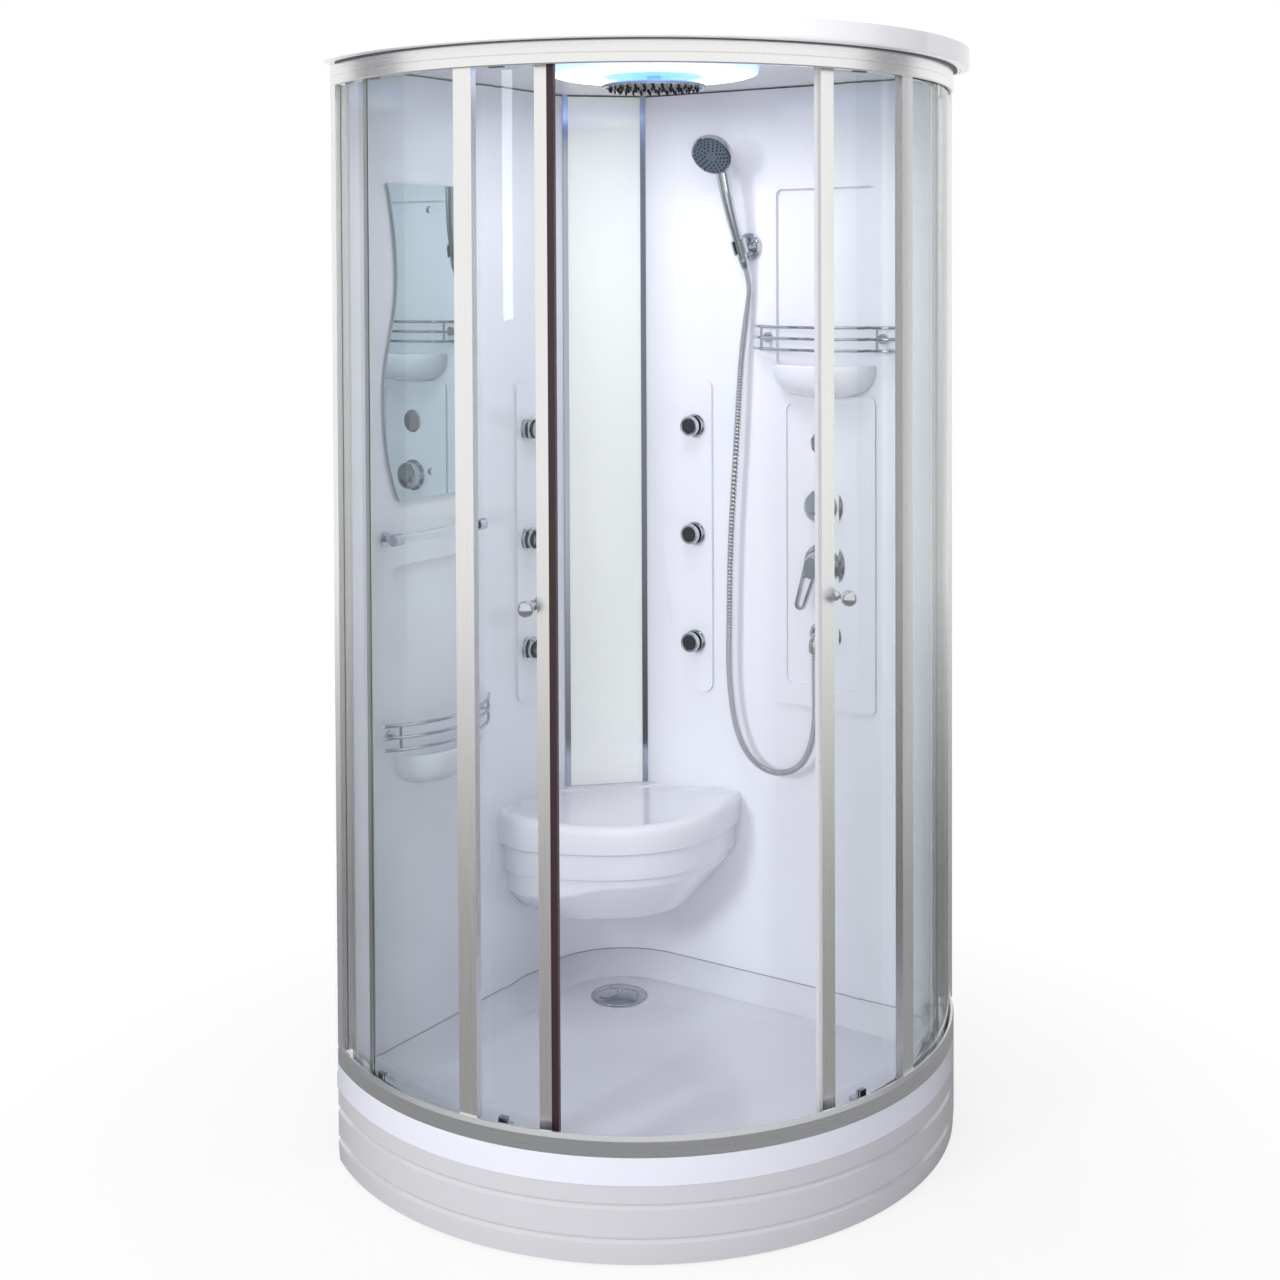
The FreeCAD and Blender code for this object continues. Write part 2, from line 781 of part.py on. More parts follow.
LOW_RAIL = [
    ("rail_inner_radius", "curb_top"),
    ("skirt_radius", "curb_top"),
    ("skirt_radius", "curb_top + low_rail_height - rail_bevel_height"),
    ("skirt_radius - rail_bevel", "curb_top + low_rail_height"),
    ("skirt_radius - rail_lip", "curb_top + low_rail_height"),
    ("skirt_radius - rail_lip", "curb_top + rail_plate"),
    ("glazing_radius + glazing_width", "curb_top + rail_plate"),
    ("glazing_radius + glazing_width", "curb_top + rail_plate + glazing_rise"),
    ("glazing_radius", "curb_top + rail_plate + glazing_rise"),
    ("glazing_radius", "curb_top + rail_plate"),
    ("track_radius + track_width / 2", "curb_top + rail_plate"),
    ("track_radius + track_width / 2", "curb_top + rail_plate + low_track_rise"),
    ("track_radius - track_width / 2", "curb_top + rail_plate + low_track_rise"),
    ("track_radius - track_width / 2", "curb_top + rail_plate"),
    ("rail_inner_radius + rail_web", "curb_top + rail_plate"),
    ("rail_inner_radius + rail_web", "curb_top + rail_plate + low_web_rise"),
    ("rail_inner_radius", "curb_top + rail_plate + low_web_rise"),
]
TOP_RAIL = [
    ("rail_inner_radius", "ledge_height"),
    ("rail_inner_radius + ledge_width", "ledge_height"),
    ("rail_inner_radius + ledge_width", "ledge_height + ledge_wall"),
    ("track_radius + track_width / 2", "ledge_height + ledge_wall"),
    ("track_radius + track_width / 2", "ledge_height + ledge_wall + top_track_rise"),
    ("track_radius - track_width / 2", "ledge_height + ledge_wall + top_track_rise"),
    ("track_radius - track_width / 2", "ledge_height + ledge_wall"),
    ("rail_inner_radius + rail_web", "ledge_height + ledge_wall"),
    ("rail_inner_radius + rail_web", "ceiling_height - rail_plate"),
    ("glazing_radius", "ceiling_height - rail_plate"),
    ("glazing_radius", "ceiling_height - rail_plate - glazing_rise"),
    ("glazing_radius + glazing_width", "ceiling_height - rail_plate - glazing_rise"),
    ("glazing_radius + glazing_width", "ceiling_height - rail_plate"),
    ("skirt_radius - rail_lip", "ceiling_height - rail_plate"),
    ("skirt_radius - rail_lip", "ceiling_height - top_rail_height"),
    ("skirt_radius - rail_bevel", "ceiling_height - top_rail_height"),
    ("skirt_radius", "ceiling_height - top_rail_height + rail_bevel"),
    ("skirt_radius", "ceiling_height - rail_groove_height"),
    ("skirt_radius - rail_groove_depth", "ceiling_height - rail_groove_height + rail_groove_depth"),
    ("skirt_radius", "ceiling_height - rail_groove_height + rail_groove_width"),
    ("skirt_radius", "ceiling_height"),
    ("rail_inner_radius", "ceiling_height"),
]
keep("bottom_rail", turned("bottom_rail", LOW_RAIL, "2 * rail_half_angle"), around(0))
keep("top_rail", turned("top_rail", TOP_RAIL, "2 * rail_half_angle"), around(0))


def sector(inner, outer, low, high, start, end):
    """A curved bar about the arc centre, between two angles from the cabin's diagonal."""
    first, last = min(start, end), max(start, end)
    turn = Rotation(UP, DIAGONAL + first)
    corners = [turn.multVec(Vector(radius, 0, height))
               for radius, height in ((inner, low), (outer, low), (outer, high), (inner, high))]
    face = Part.Face(Part.makePolygon(corners + corners[:1]))
    return face.revolve(Vector(0, 0, 0), UP, last - first)


# Fixed corner glass on both sides, held by a post and by a jamb on the wall.

GLAZING_FLOOR = mm.curb_top + mm.rail_plate
GLAZING_CEILING = mm.ceiling_height - mm.rail_plate
JAMB_ANGLE = mm.rail_half_angle - mm.jamb_span
POST_END = mm.post_angle + mm.post_span
pane = sector(mm.fixed_glass_radius, mm.fixed_glass_radius + mm.glass_wall, GLAZING_FLOOR, GLAZING_CEILING,
              POST_END - mm.post_bite, JAMB_ANGLE + mm.jamb_bite)
post = sector(mm.post_inner_radius, mm.skirt_radius - mm.rail_lip, GLAZING_FLOOR + mm.glazing_rise,
              GLAZING_CEILING - mm.glazing_rise, mm.post_angle, POST_END).cut(pane)
jamb = sector(mm.jamb_inner_radius, mm.skirt_radius, mm.curb_top + mm.low_rail_height,
              mm.ceiling_height - mm.top_rail_height, JAMB_ANGLE, mm.rail_half_angle).cut(pane)
for label, shape in (("fixed_glass", pane), ("fixed_posts", post), ("wall_profiles", jamb)):
    keep(label, gather(label, [shape, twin(shape)]), at_arc_centre())


# Sliding doors, each with its glass, edge profiles, seal, knob, carriers and guide shoes.

ROLLER_HEIGHT = (mm.ledge_height + mm.ledge_wall + mm.top_track_rise + mm.roller_groove_radius
                 + mm.running_gap)
CLAMP_RADIUS = mm.door_glass_radius + mm.glass_wall


def spoke(radius, inner, outer, angle, height):
    """A round bar that runs outwards from the arc centre."""
    bar = Part.makeCylinder(radius, outer - inner)
    return placed(bar, local_radial(angle, inner, height))


def local_radial(angle, radius, height):
    place = radial(angle, radius, height)
    return Placement(place.Base - ARC_CENTRE, place.Rotation)


def door_bolts(lead, side):
    """The round bars that pass through a door's glass."""
    bars = [spoke(mm.knob_bolt, mm.door_glass_radius, CLAMP_RADIUS, lead + side * mm.knob_from_edge,
                  mm.knob_height)]
    for step in (mm.carrier_near_angle, mm.carrier_far_angle):
        for height in (ROLLER_HEIGHT - mm.carrier_bolt_drop, mm.guide_bolt_height):
            bars.append(spoke(mm.carrier_bolt, mm.door_glass_radius, CLAMP_RADIUS, lead + side * step, height))
    return bars


def make_door_glass(lead, side):
    start = lead + side * (mm.seal_span + mm.stile_span - mm.stile_bite)
    end = lead + side * (mm.door_span - mm.tail_span + mm.tail_bite)
    glass = sector(mm.door_glass_radius, CLAMP_RADIUS, mm.door_bottom, mm.door_top, start, end)
    return glass.cut(door_bolts(lead, side))


def make_door_profile(lead, side, glass_box, nose_span):
    """The upright at the leading edge and the slim trim at the trailing edge."""
    stile = sector(mm.stile_inner_radius, mm.stile_outer_radius, mm.stile_bottom, mm.stile_top,
                   lead + side * nose_span, lead + side * (mm.seal_span + mm.stile_span))
    tail = sector(mm.door_glass_radius - mm.tail_wall, CLAMP_RADIUS + mm.tail_wall, mm.door_bottom,
                  mm.stile_top, lead + side * (mm.door_span - mm.tail_span), lead + side * mm.door_span)
    return Part.makeCompound([stile.cut(glass_box), tail.cut(glass_box)])


def make_door_seal(lead, side, span, wall):
    return sector(mm.seal_inner_radius + wall, mm.seal_outer_radius - wall, mm.door_bottom, mm.stile_top,
                  lead, lead + side * span)


def make_door_knob():
    """Local Z points outwards, from the outer face of the glass."""
    back = -mm.glass_wall
    bolt = Part.makeCylinder(mm.knob_bolt, mm.glass_wall, UP * back)
    base = Part.makeCone(mm.knob_base_radius, mm.knob_neck_radius, mm.knob_base_depth)
    neck = Part.makeCylinder(mm.knob_neck_radius, mm.knob_reach)
    ball = Part.makeSphere(mm.knob_ball_radius, UP * mm.knob_reach)
    inner_base = Part.makeCone(mm.knob_base_radius, mm.knob_neck_radius, mm.knob_base_depth,
                               UP * back, UP * -1)
    inner_neck = Part.makeCylinder(mm.knob_neck_radius, mm.knob_inner_reach, UP * back, UP * -1)
    inner_ball = Part.makeSphere(mm.knob_inner_ball, UP * (back - mm.knob_inner_reach))
    return bolt.fuse([base, neck, ball, inner_base, inner_neck, inner_ball])


def make_carrier(angle):
    """A clamp on the glass with the axle of one roller."""
    half = mm.carrier_span / 2
    inner = mm.door_glass_radius - mm.carrier_plate
    bolt_height = ROLLER_HEIGHT - mm.carrier_bolt_drop
    plate = sector(inner, mm.door_glass_radius, ROLLER_HEIGHT - mm.carrier_drop,
                   ROLLER_HEIGHT + mm.carrier_rise, angle - half, angle + half)
    cap = sector(CLAMP_RADIUS, CLAMP_RADIUS + mm.carrier_cap, ROLLER_HEIGHT - mm.carrier_drop,
                 bolt_height + mm.axle_head, angle - half, angle + half)
    bolt = spoke(mm.carrier_bolt, mm.door_glass_radius, CLAMP_RADIUS, angle, bolt_height)
    reach = mm.track_radius - mm.roller_width / 2 - mm.running_gap
    axle = spoke(mm.axle_radius, reach, inner, angle, ROLLER_HEIGHT)
    head = spoke(mm.axle_head, reach - mm.axle_head_wall, reach, angle, ROLLER_HEIGHT)
    return plate.fuse([cap, bolt, axle, head])


def make_guide(angle):
    """A shoe that straddles the lower rail's track, clamped to the foot of the glass."""
    half = mm.guide_span / 2
    inner = mm.door_glass_radius - mm.carrier_plate
    track_top = GLAZING_FLOOR + mm.low_track_rise
    low = GLAZING_FLOOR + mm.low_web_rise + mm.running_gap
    block = sector(mm.guide_inner_radius, inner, low, mm.guide_block_top, angle - half, angle + half)
    plate = sector(inner, mm.door_glass_radius, low, mm.guide_plate_top, angle - half, angle + half)
    groove = sector(mm.track_radius - mm.track_width / 2 - mm.running_gap,
                    mm.track_radius + mm.track_width / 2 + mm.running_gap,
                    low - mm.overrun, track_top + mm.running_gap, angle - mm.guide_span, angle + mm.guide_span)
    cap = sector(CLAMP_RADIUS, CLAMP_RADIUS + mm.carrier_cap, mm.guide_block_top, mm.guide_plate_top,
                 angle - half, angle + half)
    bolt = spoke(mm.carrier_bolt, mm.door_glass_radius, CLAMP_RADIUS, angle, mm.guide_bolt_height)
    return block.fuse([plate, cap, bolt]).cut(groove)


ROLLER = [
    ("axle_radius + bearing_gap", "-roller_width / 2"),
    ("roller_radius", "-roller_width / 2"),
    ("roller_radius", "roller_flange - roller_width / 2"),
    ("roller_groove_radius", "roller_flange - roller_width / 2"),
    ("roller_groove_radius", "roller_width / 2 - roller_flange"),
    ("roller_radius", "roller_width / 2 - roller_flange"),
    ("roller_radius", "roller_width / 2"),
    ("axle_radius + bearing_gap", "roller_width / 2"),
]


def build_door(name, lead, side, nose_span, nose_wall):
    glass = make_door_glass(lead, side)
    start = lead + side * (mm.seal_span + mm.stile_span - mm.stile_bite)
    end = lead + side * (mm.door_span - mm.tail_span + mm.tail_bite)
    slot = sector(mm.door_glass_radius, CLAMP_RADIUS, mm.door_bottom, mm.door_top, start, end)
    near = lead + side * mm.carrier_near_angle
    far = lead + side * mm.carrier_far_angle
    keep("door_glass_" + name, moulded("door_glass_" + name, glass), at_arc_centre())
    profile = make_door_profile(lead, side, slot, nose_span)
    keep("door_profiles_" + name, moulded("door_profiles_" + name, profile), at_arc_centre())
    seal = make_door_seal(lead, side, nose_span, nose_wall)
    keep("door_seal_" + name, moulded("door_seal_" + name, seal), at_arc_centre())
    keep("door_knob_" + name, moulded("door_knob_" + name, make_door_knob()),
         radial(lead + side * mm.knob_from_edge, CLAMP_RADIUS, mm.knob_height))
    fittings = [make_carrier(near), make_carrier(far), make_guide(near), make_guide(far)]
    keep("door_carriers_" + name, gather("door_carriers_" + name, fittings), at_arc_centre())
    for place, angle in (("front", near), ("rear", far)):
        label = "roller_" + name + "_" + place
        keep(label, turned(label, ROLLER), radial(angle, mm.track_radius, ROLLER_HEIGHT))


build_door("left", -mm.left_rest_angle, -1, mm.seal_span, 0.0)
build_door("right", mm.right_rest_angle, 1, mm.strip_span, mm.strip_wall)


# Moulded back walls. Each is drawn as the right-hand one, whose inner face is towards -Y.

RIM_ZONE = sector(mm.rail_inner_radius - mm.seat_gap, mm.roof_radius, 0, mm.cabin_height, 0, mm.rail_half_angle)


def upright_plate(x_low, x_high, z_low, z_high, y_low, y_high, turn):
    """A plate parallel to the wall with rounded corners."""
    box = Part.makeBox(x_high - x_low, y_high - y_low, z_high - z_low, Vector(x_low, y_low, z_low))
    corners = [e for e in box.Edges if abs(e.Vertexes[0].Point.y - e.Vertexes[1].Point.y) > 0.0]
    corners = [e for e in corners if e.Vertexes[0].Point.x == e.Vertexes[1].Point.x]
    return box.makeFillet(turn, corners)


def shelf_wire(half, reach, root, height):
    """A bowed front edge closed by a straight back."""
    left = Vector(mm.niche_centre - half, root, height)
    nose = Vector(mm.niche_centre, mm.wall_offset - reach, height)
    right = Vector(mm.niche_centre + half, root, height)
    return Part.Wire([Part.Arc(left, nose, right).toShape(), Part.LineSegment(right, left).toShape()])


def make_shelf(top):
    half = mm.niche_width / 2
    foot_half = mm.shelf_foot_width / 2
    root = mm.wall_offset + mm.wall_sheet / 2
    rim = top - mm.shelf_rim
    foot = top - mm.shelf_drop
    slab_top = Part.Face(shelf_wire(half, mm.shelf_reach, root, rim)).extrude(UP * mm.shelf_rim)
    belly = Part.makeLoft([shelf_wire(half, mm.shelf_reach, root, rim),
                           shelf_wire(foot_half, mm.shelf_foot_reach, root, foot)], True, True)
    return slab_top.fuse(belly)


def make_shelf_dish(top):
    half = mm.niche_width / 2 - mm.shelf_rim
    wire = shelf_wire(half, mm.shelf_reach - mm.shelf_rim, mm.wall_offset - mm.overrun, top - mm.shelf_dish)
    return Part.Face(wire).extrude(UP * (mm.shelf_dish + mm.overrun))


def make_shelf_hollow(top):
    wall = mm.wall_sheet
    half = mm.niche_width / 2 - wall
    root = mm.wall_offset + mm.wall_sheet + mm.overrun
    low = top - mm.shelf_drop + wall
    return Part.makeLoft([shelf_wire(half - wall, mm.shelf_reach - 2 * wall, root, top - mm.shelf_dish - wall),
                          shelf_wire(mm.shelf_foot_width / 2 - wall, mm.shelf_foot_reach - wall, root, low)],
                         True, True)


def make_jet_plaque():
    """A plaque with one straight edge and one edge bowed towards the corner."""
    y = mm.wall_offset - mm.jet_plaque_rise
    low, high = mm.jet_plaque_bottom, mm.jet_plaque_top
    a = Vector(-mm.jet_plaque_edge, y, low)
    b = Vector(-mm.jet_plaque_edge, y, high)
    c = Vector(-mm.jet_plaque_end, y, high)
    nose = Vector(-mm.jet_plaque_bow, y, (low + high) / 2)
    d = Vector(-mm.jet_plaque_end, y, low)
    edges = [Part.LineSegment(a, b), Part.LineSegment(b, c), Part.Arc(c, nose, d), Part.LineSegment(d, a)]
    face = Part.Face(Part.Wire([edge.toShape() for edge in edges]))
    plaque = face.extrude(Vector(0, mm.jet_plaque_rise + mm.wall_sheet / 2, 0))
    corners = [e for e in plaque.Edges if len(e.Vertexes) == 2
               and abs(e.Vertexes[0].Point.y - e.Vertexes[1].Point.y) > mm.jet_plaque_rise]
    return plaque.makeFillet(mm.jet_plaque_turn, corners)


def across_hole(radius, across, height):
    """A hole through the right-hand wall."""
    return Part.makeCylinder(radius, mm.back_offset, Vector(across, 0, height), Vector(0, 1, 0))


def make_wall(shelf_top):
    low = mm.tray_ledge + mm.seat_gap
    high = mm.ceiling_height - mm.seat_gap
    face, back, sheet_wall = mm.wall_offset, mm.back_offset, mm.wall_sheet
    length = mm.wall_reach + mm.wall_corner_reach
    block = Part.makeBox(length, back - face, high - low, Vector(-mm.wall_corner_reach, face, low))
    hollow = Part.makeBox(length - sheet_wall + mm.overrun, back - face, high - low - 2 * sheet_wall,
                          Vector(-mm.wall_corner_reach - mm.overrun, face + sheet_wall, low + sheet_wall))
    strip_width = mm.wall_reach - mm.pilaster_start
    strip = Part.makeBox(strip_width, mm.pilaster_rise + sheet_wall, high - low,
                         Vector(mm.pilaster_start, face - mm.pilaster_rise, low))
    edge = [e for e in strip.Edges if e.BoundBox.ZLength > strip_width
            and e.BoundBox.YMax < face and e.BoundBox.XMax < mm.wall_reach - sheet_wall]
    strip = strip.makeFillet(mm.pilaster_round, edge)
    strip_hollow = Part.makeBox(strip_width - 2 * sheet_wall, mm.pilaster_rise + sheet_wall, high - low - 2 * sheet_wall,
                                Vector(mm.pilaster_start + sheet_wall, face - mm.pilaster_rise + sheet_wall,
                                       low + sheet_wall))
    half = mm.niche_width / 2
    niche_top = shelf_top + mm.niche_height
    backing = upright_plate(mm.niche_centre - half - sheet_wall, mm.niche_centre + half + sheet_wall,
                            shelf_top - sheet_wall, niche_top + sheet_wall, face + sheet_wall / 2,
                            face + mm.niche_depth + sheet_wall, mm.niche_round + sheet_wall)
    niche = upright_plate(mm.niche_centre - half, mm.niche_centre + half, shelf_top, niche_top,
                          face - mm.overrun, face + mm.niche_depth, mm.niche_round)
    wall = block.fuse(strip).cut([hollow, strip_hollow])
    wall = wall.fuse([backing, make_shelf(shelf_top), make_jet_plaque()])
    wall = wall.cut([niche, make_shelf_dish(shelf_top), make_shelf_hollow(shelf_top)])
    notch = Part.makeBox(mm.wall_corner_reach - mm.wall_low_reach + mm.overrun, back, mm.wall_notch_top,
                         Vector(-mm.wall_corner_reach - mm.overrun, 0, 0))
    holes = [across_hole(mm.jet_stub, -mm.jet_across, height) for height in JET_HEIGHTS]
    return wall.cut([RIM_ZONE, notch] + holes)


JET_HEIGHTS = [mm.jet_top - step * mm.jet_pitch for step in range(int(mm.jet_count))]


def make_right_wall():
    """The right-hand wall also carries the plaque of the valves."""
    top = mm.right_shelf_height
    face = mm.wall_offset
    plaque = upright_plate(mm.niche_centre - mm.plaque_half, mm.niche_centre + mm.plaque_half, mm.plaque_bottom,
                           top - mm.shelf_drop, face - mm.plaque_rise, face + mm.wall_sheet / 2, mm.niche_round)
    recess_half = mm.plaque_recess_half
    recess = upright_plate(mm.niche_centre - recess_half, mm.niche_centre + recess_half, mm.plaque_recess_bottom,
                           mm.plaque_recess_top, face - mm.plaque_rise - mm.overrun,
                           face - mm.plaque_rise + mm.plaque_recess, mm.niche_round)
    holes = [across_hole(mm.valve_sleeve, mm.valve_across, mm.mixer_height),
             across_hole(mm.valve_sleeve, mm.valve_across, mm.diverter_height),
             across_hole(mm.outlet_pipe, mm.valve_across, mm.outlet_height)]
    riser = Part.makeCylinder(mm.pipe_radius + mm.seat_gap, mm.cabin_height,
                              Vector(mm.riser_across, mm.back_offset - mm.pipe_depth, mm.right_shelf_height))
    return make_wall(top).fuse(plaque).cut([recess, riser] + holes)


keep("wall_right", moulded("wall_right", make_right_wall()), at_arc_centre())
keep("wall_left", moulded("wall_left", twin(make_wall(mm.left_shelf_height))), at_arc_centre())


# The corner: a slanted glass panel in two trims, above a seat moulded in one with its column.

PANEL_REACH = (mm.wall_offset + mm.wall_corner_reach) / math.sqrt(2)
PANEL_HALF = (mm.wall_offset - mm.wall_corner_reach) / math.sqrt(2)


def make_corner_panel():
    low = mm.seat_top + mm.seat_gap
    high = mm.ceiling_height - mm.seat_gap
    half = PANEL_HALF - mm.trim_wall
    return Part.makeBox(mm.corner_panel_wall, 2 * half, high - low, Vector(PANEL_REACH, -half, low))


def make_corner_trims(panel):
    low = mm.seat_top + mm.seat_gap
    high = mm.ceiling_height - mm.seat_gap
    depth = mm.corner_panel_wall + 2 * mm.trim_wall
    trims = []
    for base in (-PANEL_HALF, PANEL_HALF - mm.trim_width):
        bar = Part.makeBox(depth, mm.trim_width, high - low, Vector(PANEL_REACH - mm.trim_wall, base, low))
        trims.append(bar.cut(panel))
    return trims


corner_glass = make_corner_panel()
keep("corner_panel", moulded("corner_panel", corner_glass), around(HALF_TURN))
keep("corner_trims", gather("corner_trims", make_corner_trims(corner_glass)), around(HALF_TURN))


def seat_profile(inset):
    """Radii and heights of the stepped seat, from the top down."""
    first = mm.seat_top - mm.seat_first_drop
    second = first - mm.seat_second_drop
    third = second - mm.seat_third_drop
    radius = mm.seat_radius - inset
    return [
        (0.0, mm.seat_top - inset),
        (radius, mm.seat_top - inset),
        (radius, first + inset),
        (radius - mm.seat_step, first + inset),
        (radius - mm.seat_step, second + inset),
        (radius - 2 * mm.seat_step, second + inset),
        (radius - 2 * mm.seat_step, third + inset),
        (mm.seat_bottom_radius - inset, mm.seat_bottom + inset),
        (0.0, mm.seat_bottom + inset),
    ]


def seat_solid(inset):
    centre = Vector(mm.seat_centre - mm.wall_offset, mm.wall_offset - mm.seat_centre, 0)
    points = [Vector(r, 0, z) for r, z in seat_profile(inset)]
    face = Part.Face(Part.makePolygon(points + points[:1]))
    solid = face.revolve(Vector(0, 0, 0), UP, FULL_TURN)
    solid.translate(centre)
    return solid


def make_seat():
    wall, low = mm.wall_offset, mm.seat_bottom - mm.overrun
    reach = mm.seat_radius
    quarter = Part.makeBox(2 * reach, 2 * reach, mm.seat_top, Vector(-wall, wall - 2 * reach, low))
    outer = seat_solid(0.0).common(quarter)
    rims = [e for e in outer.Edges if abs(e.BoundBox.ZMax - mm.seat_top) < mm.seat_gap
            and e.BoundBox.ZLength < mm.seat_gap and hasattr(e.Curve, "Radius")]
    outer = outer.makeFillet(mm.seat_round, rims)
    arc_centre = Vector(-mm.wall_low_reach, mm.wall_low_reach, 0)
    high = mm.seat_top - mm.seat_wall
    corner = Part.makeBox(mm.column_radius + mm.seat_rim, mm.column_radius + mm.seat_rim, high,
                          Vector(arc_centre.x - mm.column_radius - mm.seat_rim, arc_centre.y, 0))
    corner = corner.cut(Part.makeCylinder(mm.column_radius, high, arc_centre))
    behind = Part.makeBox(mm.back_offset, 2 * mm.back_offset, mm.cabin_height,
                          Vector(PANEL_REACH + mm.corner_panel_wall, -mm.back_offset, 0))
    behind.rotate(Vector(0, 0, 0), UP, DIAGONAL + HALF_TURN)
    crown = mm.seat_dish
    bowl_radius = (mm.seat_radius - mm.seat_rim) ** 2 / (2 * crown)
    centre = Vector(mm.seat_centre - wall, wall - mm.seat_centre, mm.seat_top + bowl_radius - crown)
    outer = outer.cut([corner, behind, seat_solid(mm.seat_wall + crown)])
    outer = outer.cut(Part.makeSphere(bowl_radius, centre))
    column_low = mm.tray_ledge + mm.seat_gap
    column = Part.makeCylinder(mm.column_radius + mm.column_wall, mm.seat_top - column_low,
                               arc_centre + UP * column_low, UP, QUARTER)
    column.rotate(arc_centre, UP, QUARTER)
    column = column.cut(Part.makeCylinder(mm.column_radius, mm.cabin_height, arc_centre))
    return outer.fuse(column)


keep("corner_seat", moulded("corner_seat", make_seat()), at_arc_centre())


# Roof: a ceiling sheet with an upstanding rim, open on top.

LAMP = Vector(mm.lamp_offset, -mm.lamp_offset, 0)


def roof_solid(inset):
    low = mm.ceiling_height + inset
    turn = mm.ceiling_height + mm.roof_turn + inset
    back, corner, heel = mm.back_offset - inset, mm.roof_corner_round - inset, mm.roof_heel_round - inset
    tuck = Part.makeLoft([plan_wire(mm.roof_radius - mm.roof_taper - inset, back, corner, heel, low),
                          plan_wire(mm.roof_radius - inset, back, corner, heel, turn)], True, True)
    rim = slab(plan_wire(mm.roof_radius - inset, back, corner, heel, turn), mm.cabin_height - turn + inset)
    return tuck.fuse(rim)


def make_roof():
    stem = Part.makeCylinder(mm.rose_stem, mm.cabin_height, LAMP)
    riser = Part.makeCylinder(mm.pipe_radius + mm.seat_gap, mm.cabin_height,
                              Vector(mm.riser_across, mm.back_offset - mm.pipe_depth, 0))
    return roof_solid(0.0).cut([roof_solid(mm.roof_wall), stem, riser])


keep("roof", moulded("roof", make_roof()), at_arc_centre())

LAMP_RING = [
    ("lamp_radius", "0"),
    ("lamp_radius - lamp_wall", "lamp_dish - lamp_drop"),
    ("lamp_radius - lamp_drop", "-lamp_drop"),
    ("lamp_bore", "-lamp_drop"),
    ("lamp_bore", "lamp_wall - lamp_drop"),
    ("lamp_radius - lamp_drop - lamp_wall", "lamp_wall - lamp_drop"),
    ("lamp_radius - 2 * lamp_wall", "lamp_wall + lamp_dish - lamp_drop"),
    ("lamp_radius - lamp_wall", "0"),
]
ROSE = [
    ("0", "roof_wall + rose_edge"),
    ("rose_stem", "roof_wall + rose_edge"),
    ("rose_stem", "rose_crown - rose_drop"),
    ("nozzle_plate_radius", "nozzle_plate_wall - rose_drop"),
    ("rose_radius", "-rose_drop"),
    ("rose_radius", "-rose_drop - rose_edge"),
    ("nozzle_plate_radius", "-rose_drop - rose_edge"),
    ("nozzle_plate_radius", "nozzle_plate_wall - rose_drop - rose_edge"),
    ("0", "nozzle_plate_wall - rose_drop - rose_edge"),
]
under_ceiling = Placement(ARC_CENTRE + LAMP + UP * mm.ceiling_height, Rotation())
keep("lamp_ring", turned("lamp_ring", LAMP_RING), under_ceiling)
keep("overhead_shower", turned("overhead_shower", ROSE), under_ceiling)


def make_nozzles():
    """A soft plate whose nozzles stand in rings."""
    face = -mm.rose_drop - mm.rose_edge
    plate = Part.makeCylinder(mm.nozzle_plate_radius, mm.nozzle_plate_wall, UP * face)
    tips = []
    rings = int((mm.nozzle_plate_radius - mm.nozzle_radius) / mm.nozzle_pitch)
    for ring in range(1, rings + 1):
        for step in range(6 * ring):
            spot = Rotation(UP, FULL_TURN * step / (6 * ring)).multVec(Vector(ring * mm.nozzle_pitch, 0, face))
            tips.append(Part.makeCone(mm.nozzle_radius, mm.nozzle_radius / 2, mm.nozzle_tip, spot, UP * -1))
    return plate.fuse(tips)


keep("overhead_nozzles", moulded("overhead_nozzles", make_nozzles()), under_ceiling)


# Left wall: a wavy mirror on two studs, a towel bar and a wire rack.

MIRROR_HEIGHT_SHARES = [0.0, 0.23, 0.41, 0.63, 0.79, 1.0]
MIRROR_WAVE_SHARES = [-0.74, 0.32, 0.26, -0.63, -0.66, 0.0]


def mirror_edge(shift):
    """One wavy side of the mirror, from the bottom up."""
    y = mm.wall_offset - mm.mirror_gap
    points = [Vector(mm.mirror_left + mm.mirror_wave * wave - shift, y, mm.mirror_bottom + mm.mirror_height * share)
              for share, wave in zip(MIRROR_HEIGHT_SHARES, MIRROR_WAVE_SHARES)]
    curve = Part.BSplineCurve()
    curve.interpolate(points)
    return curve.toShape(), points


def mirror_studs_spots():
    spots = []
    for height in (mm.mirror_bottom + mm.stud_inset, mm.mirror_bottom + mm.mirror_height - mm.stud_inset):
        spots.append(Vector(mm.mirror_left - mm.mirror_width / 2 - mm.stud_radius, mm.wall_offset, height))
    return spots


def make_mirror():
    far, far_points = mirror_edge(0.0)
    near, near_points = mirror_edge(mm.mirror_width)
    low = Part.LineSegment(far_points[0], near_points[0]).toShape()
    high = Part.LineSegment(far_points[-1], near_points[-1]).toShape()
    face = Part.Face(Part.Wire([low, near, high, far]))
    sheet_glass = face.extrude(Vector(0, -mm.mirror_wall, 0))
    holes = [across_hole(mm.stud_pin, spot.x, spot.z) for spot in mirror_studs_spots()]
    return sheet_glass.cut(holes)


def make_studs():
    studs = []
    into = Vector(0, -1, 0)
    for spot in mirror_studs_spots():
        front = mm.mirror_gap + mm.mirror_wall
        spacer = Part.makeCylinder(mm.stud_radius, mm.mirror_gap, spot, into)
        pin = Part.makeCylinder(mm.stud_pin, front, spot, into)
        head = Part.makeCone(mm.stud_radius, mm.stud_radius - mm.stud_head / 2, mm.stud_head,
                             spot + into * front, into)
        studs.append(twin(spacer.fuse([pin, head])))
    return studs


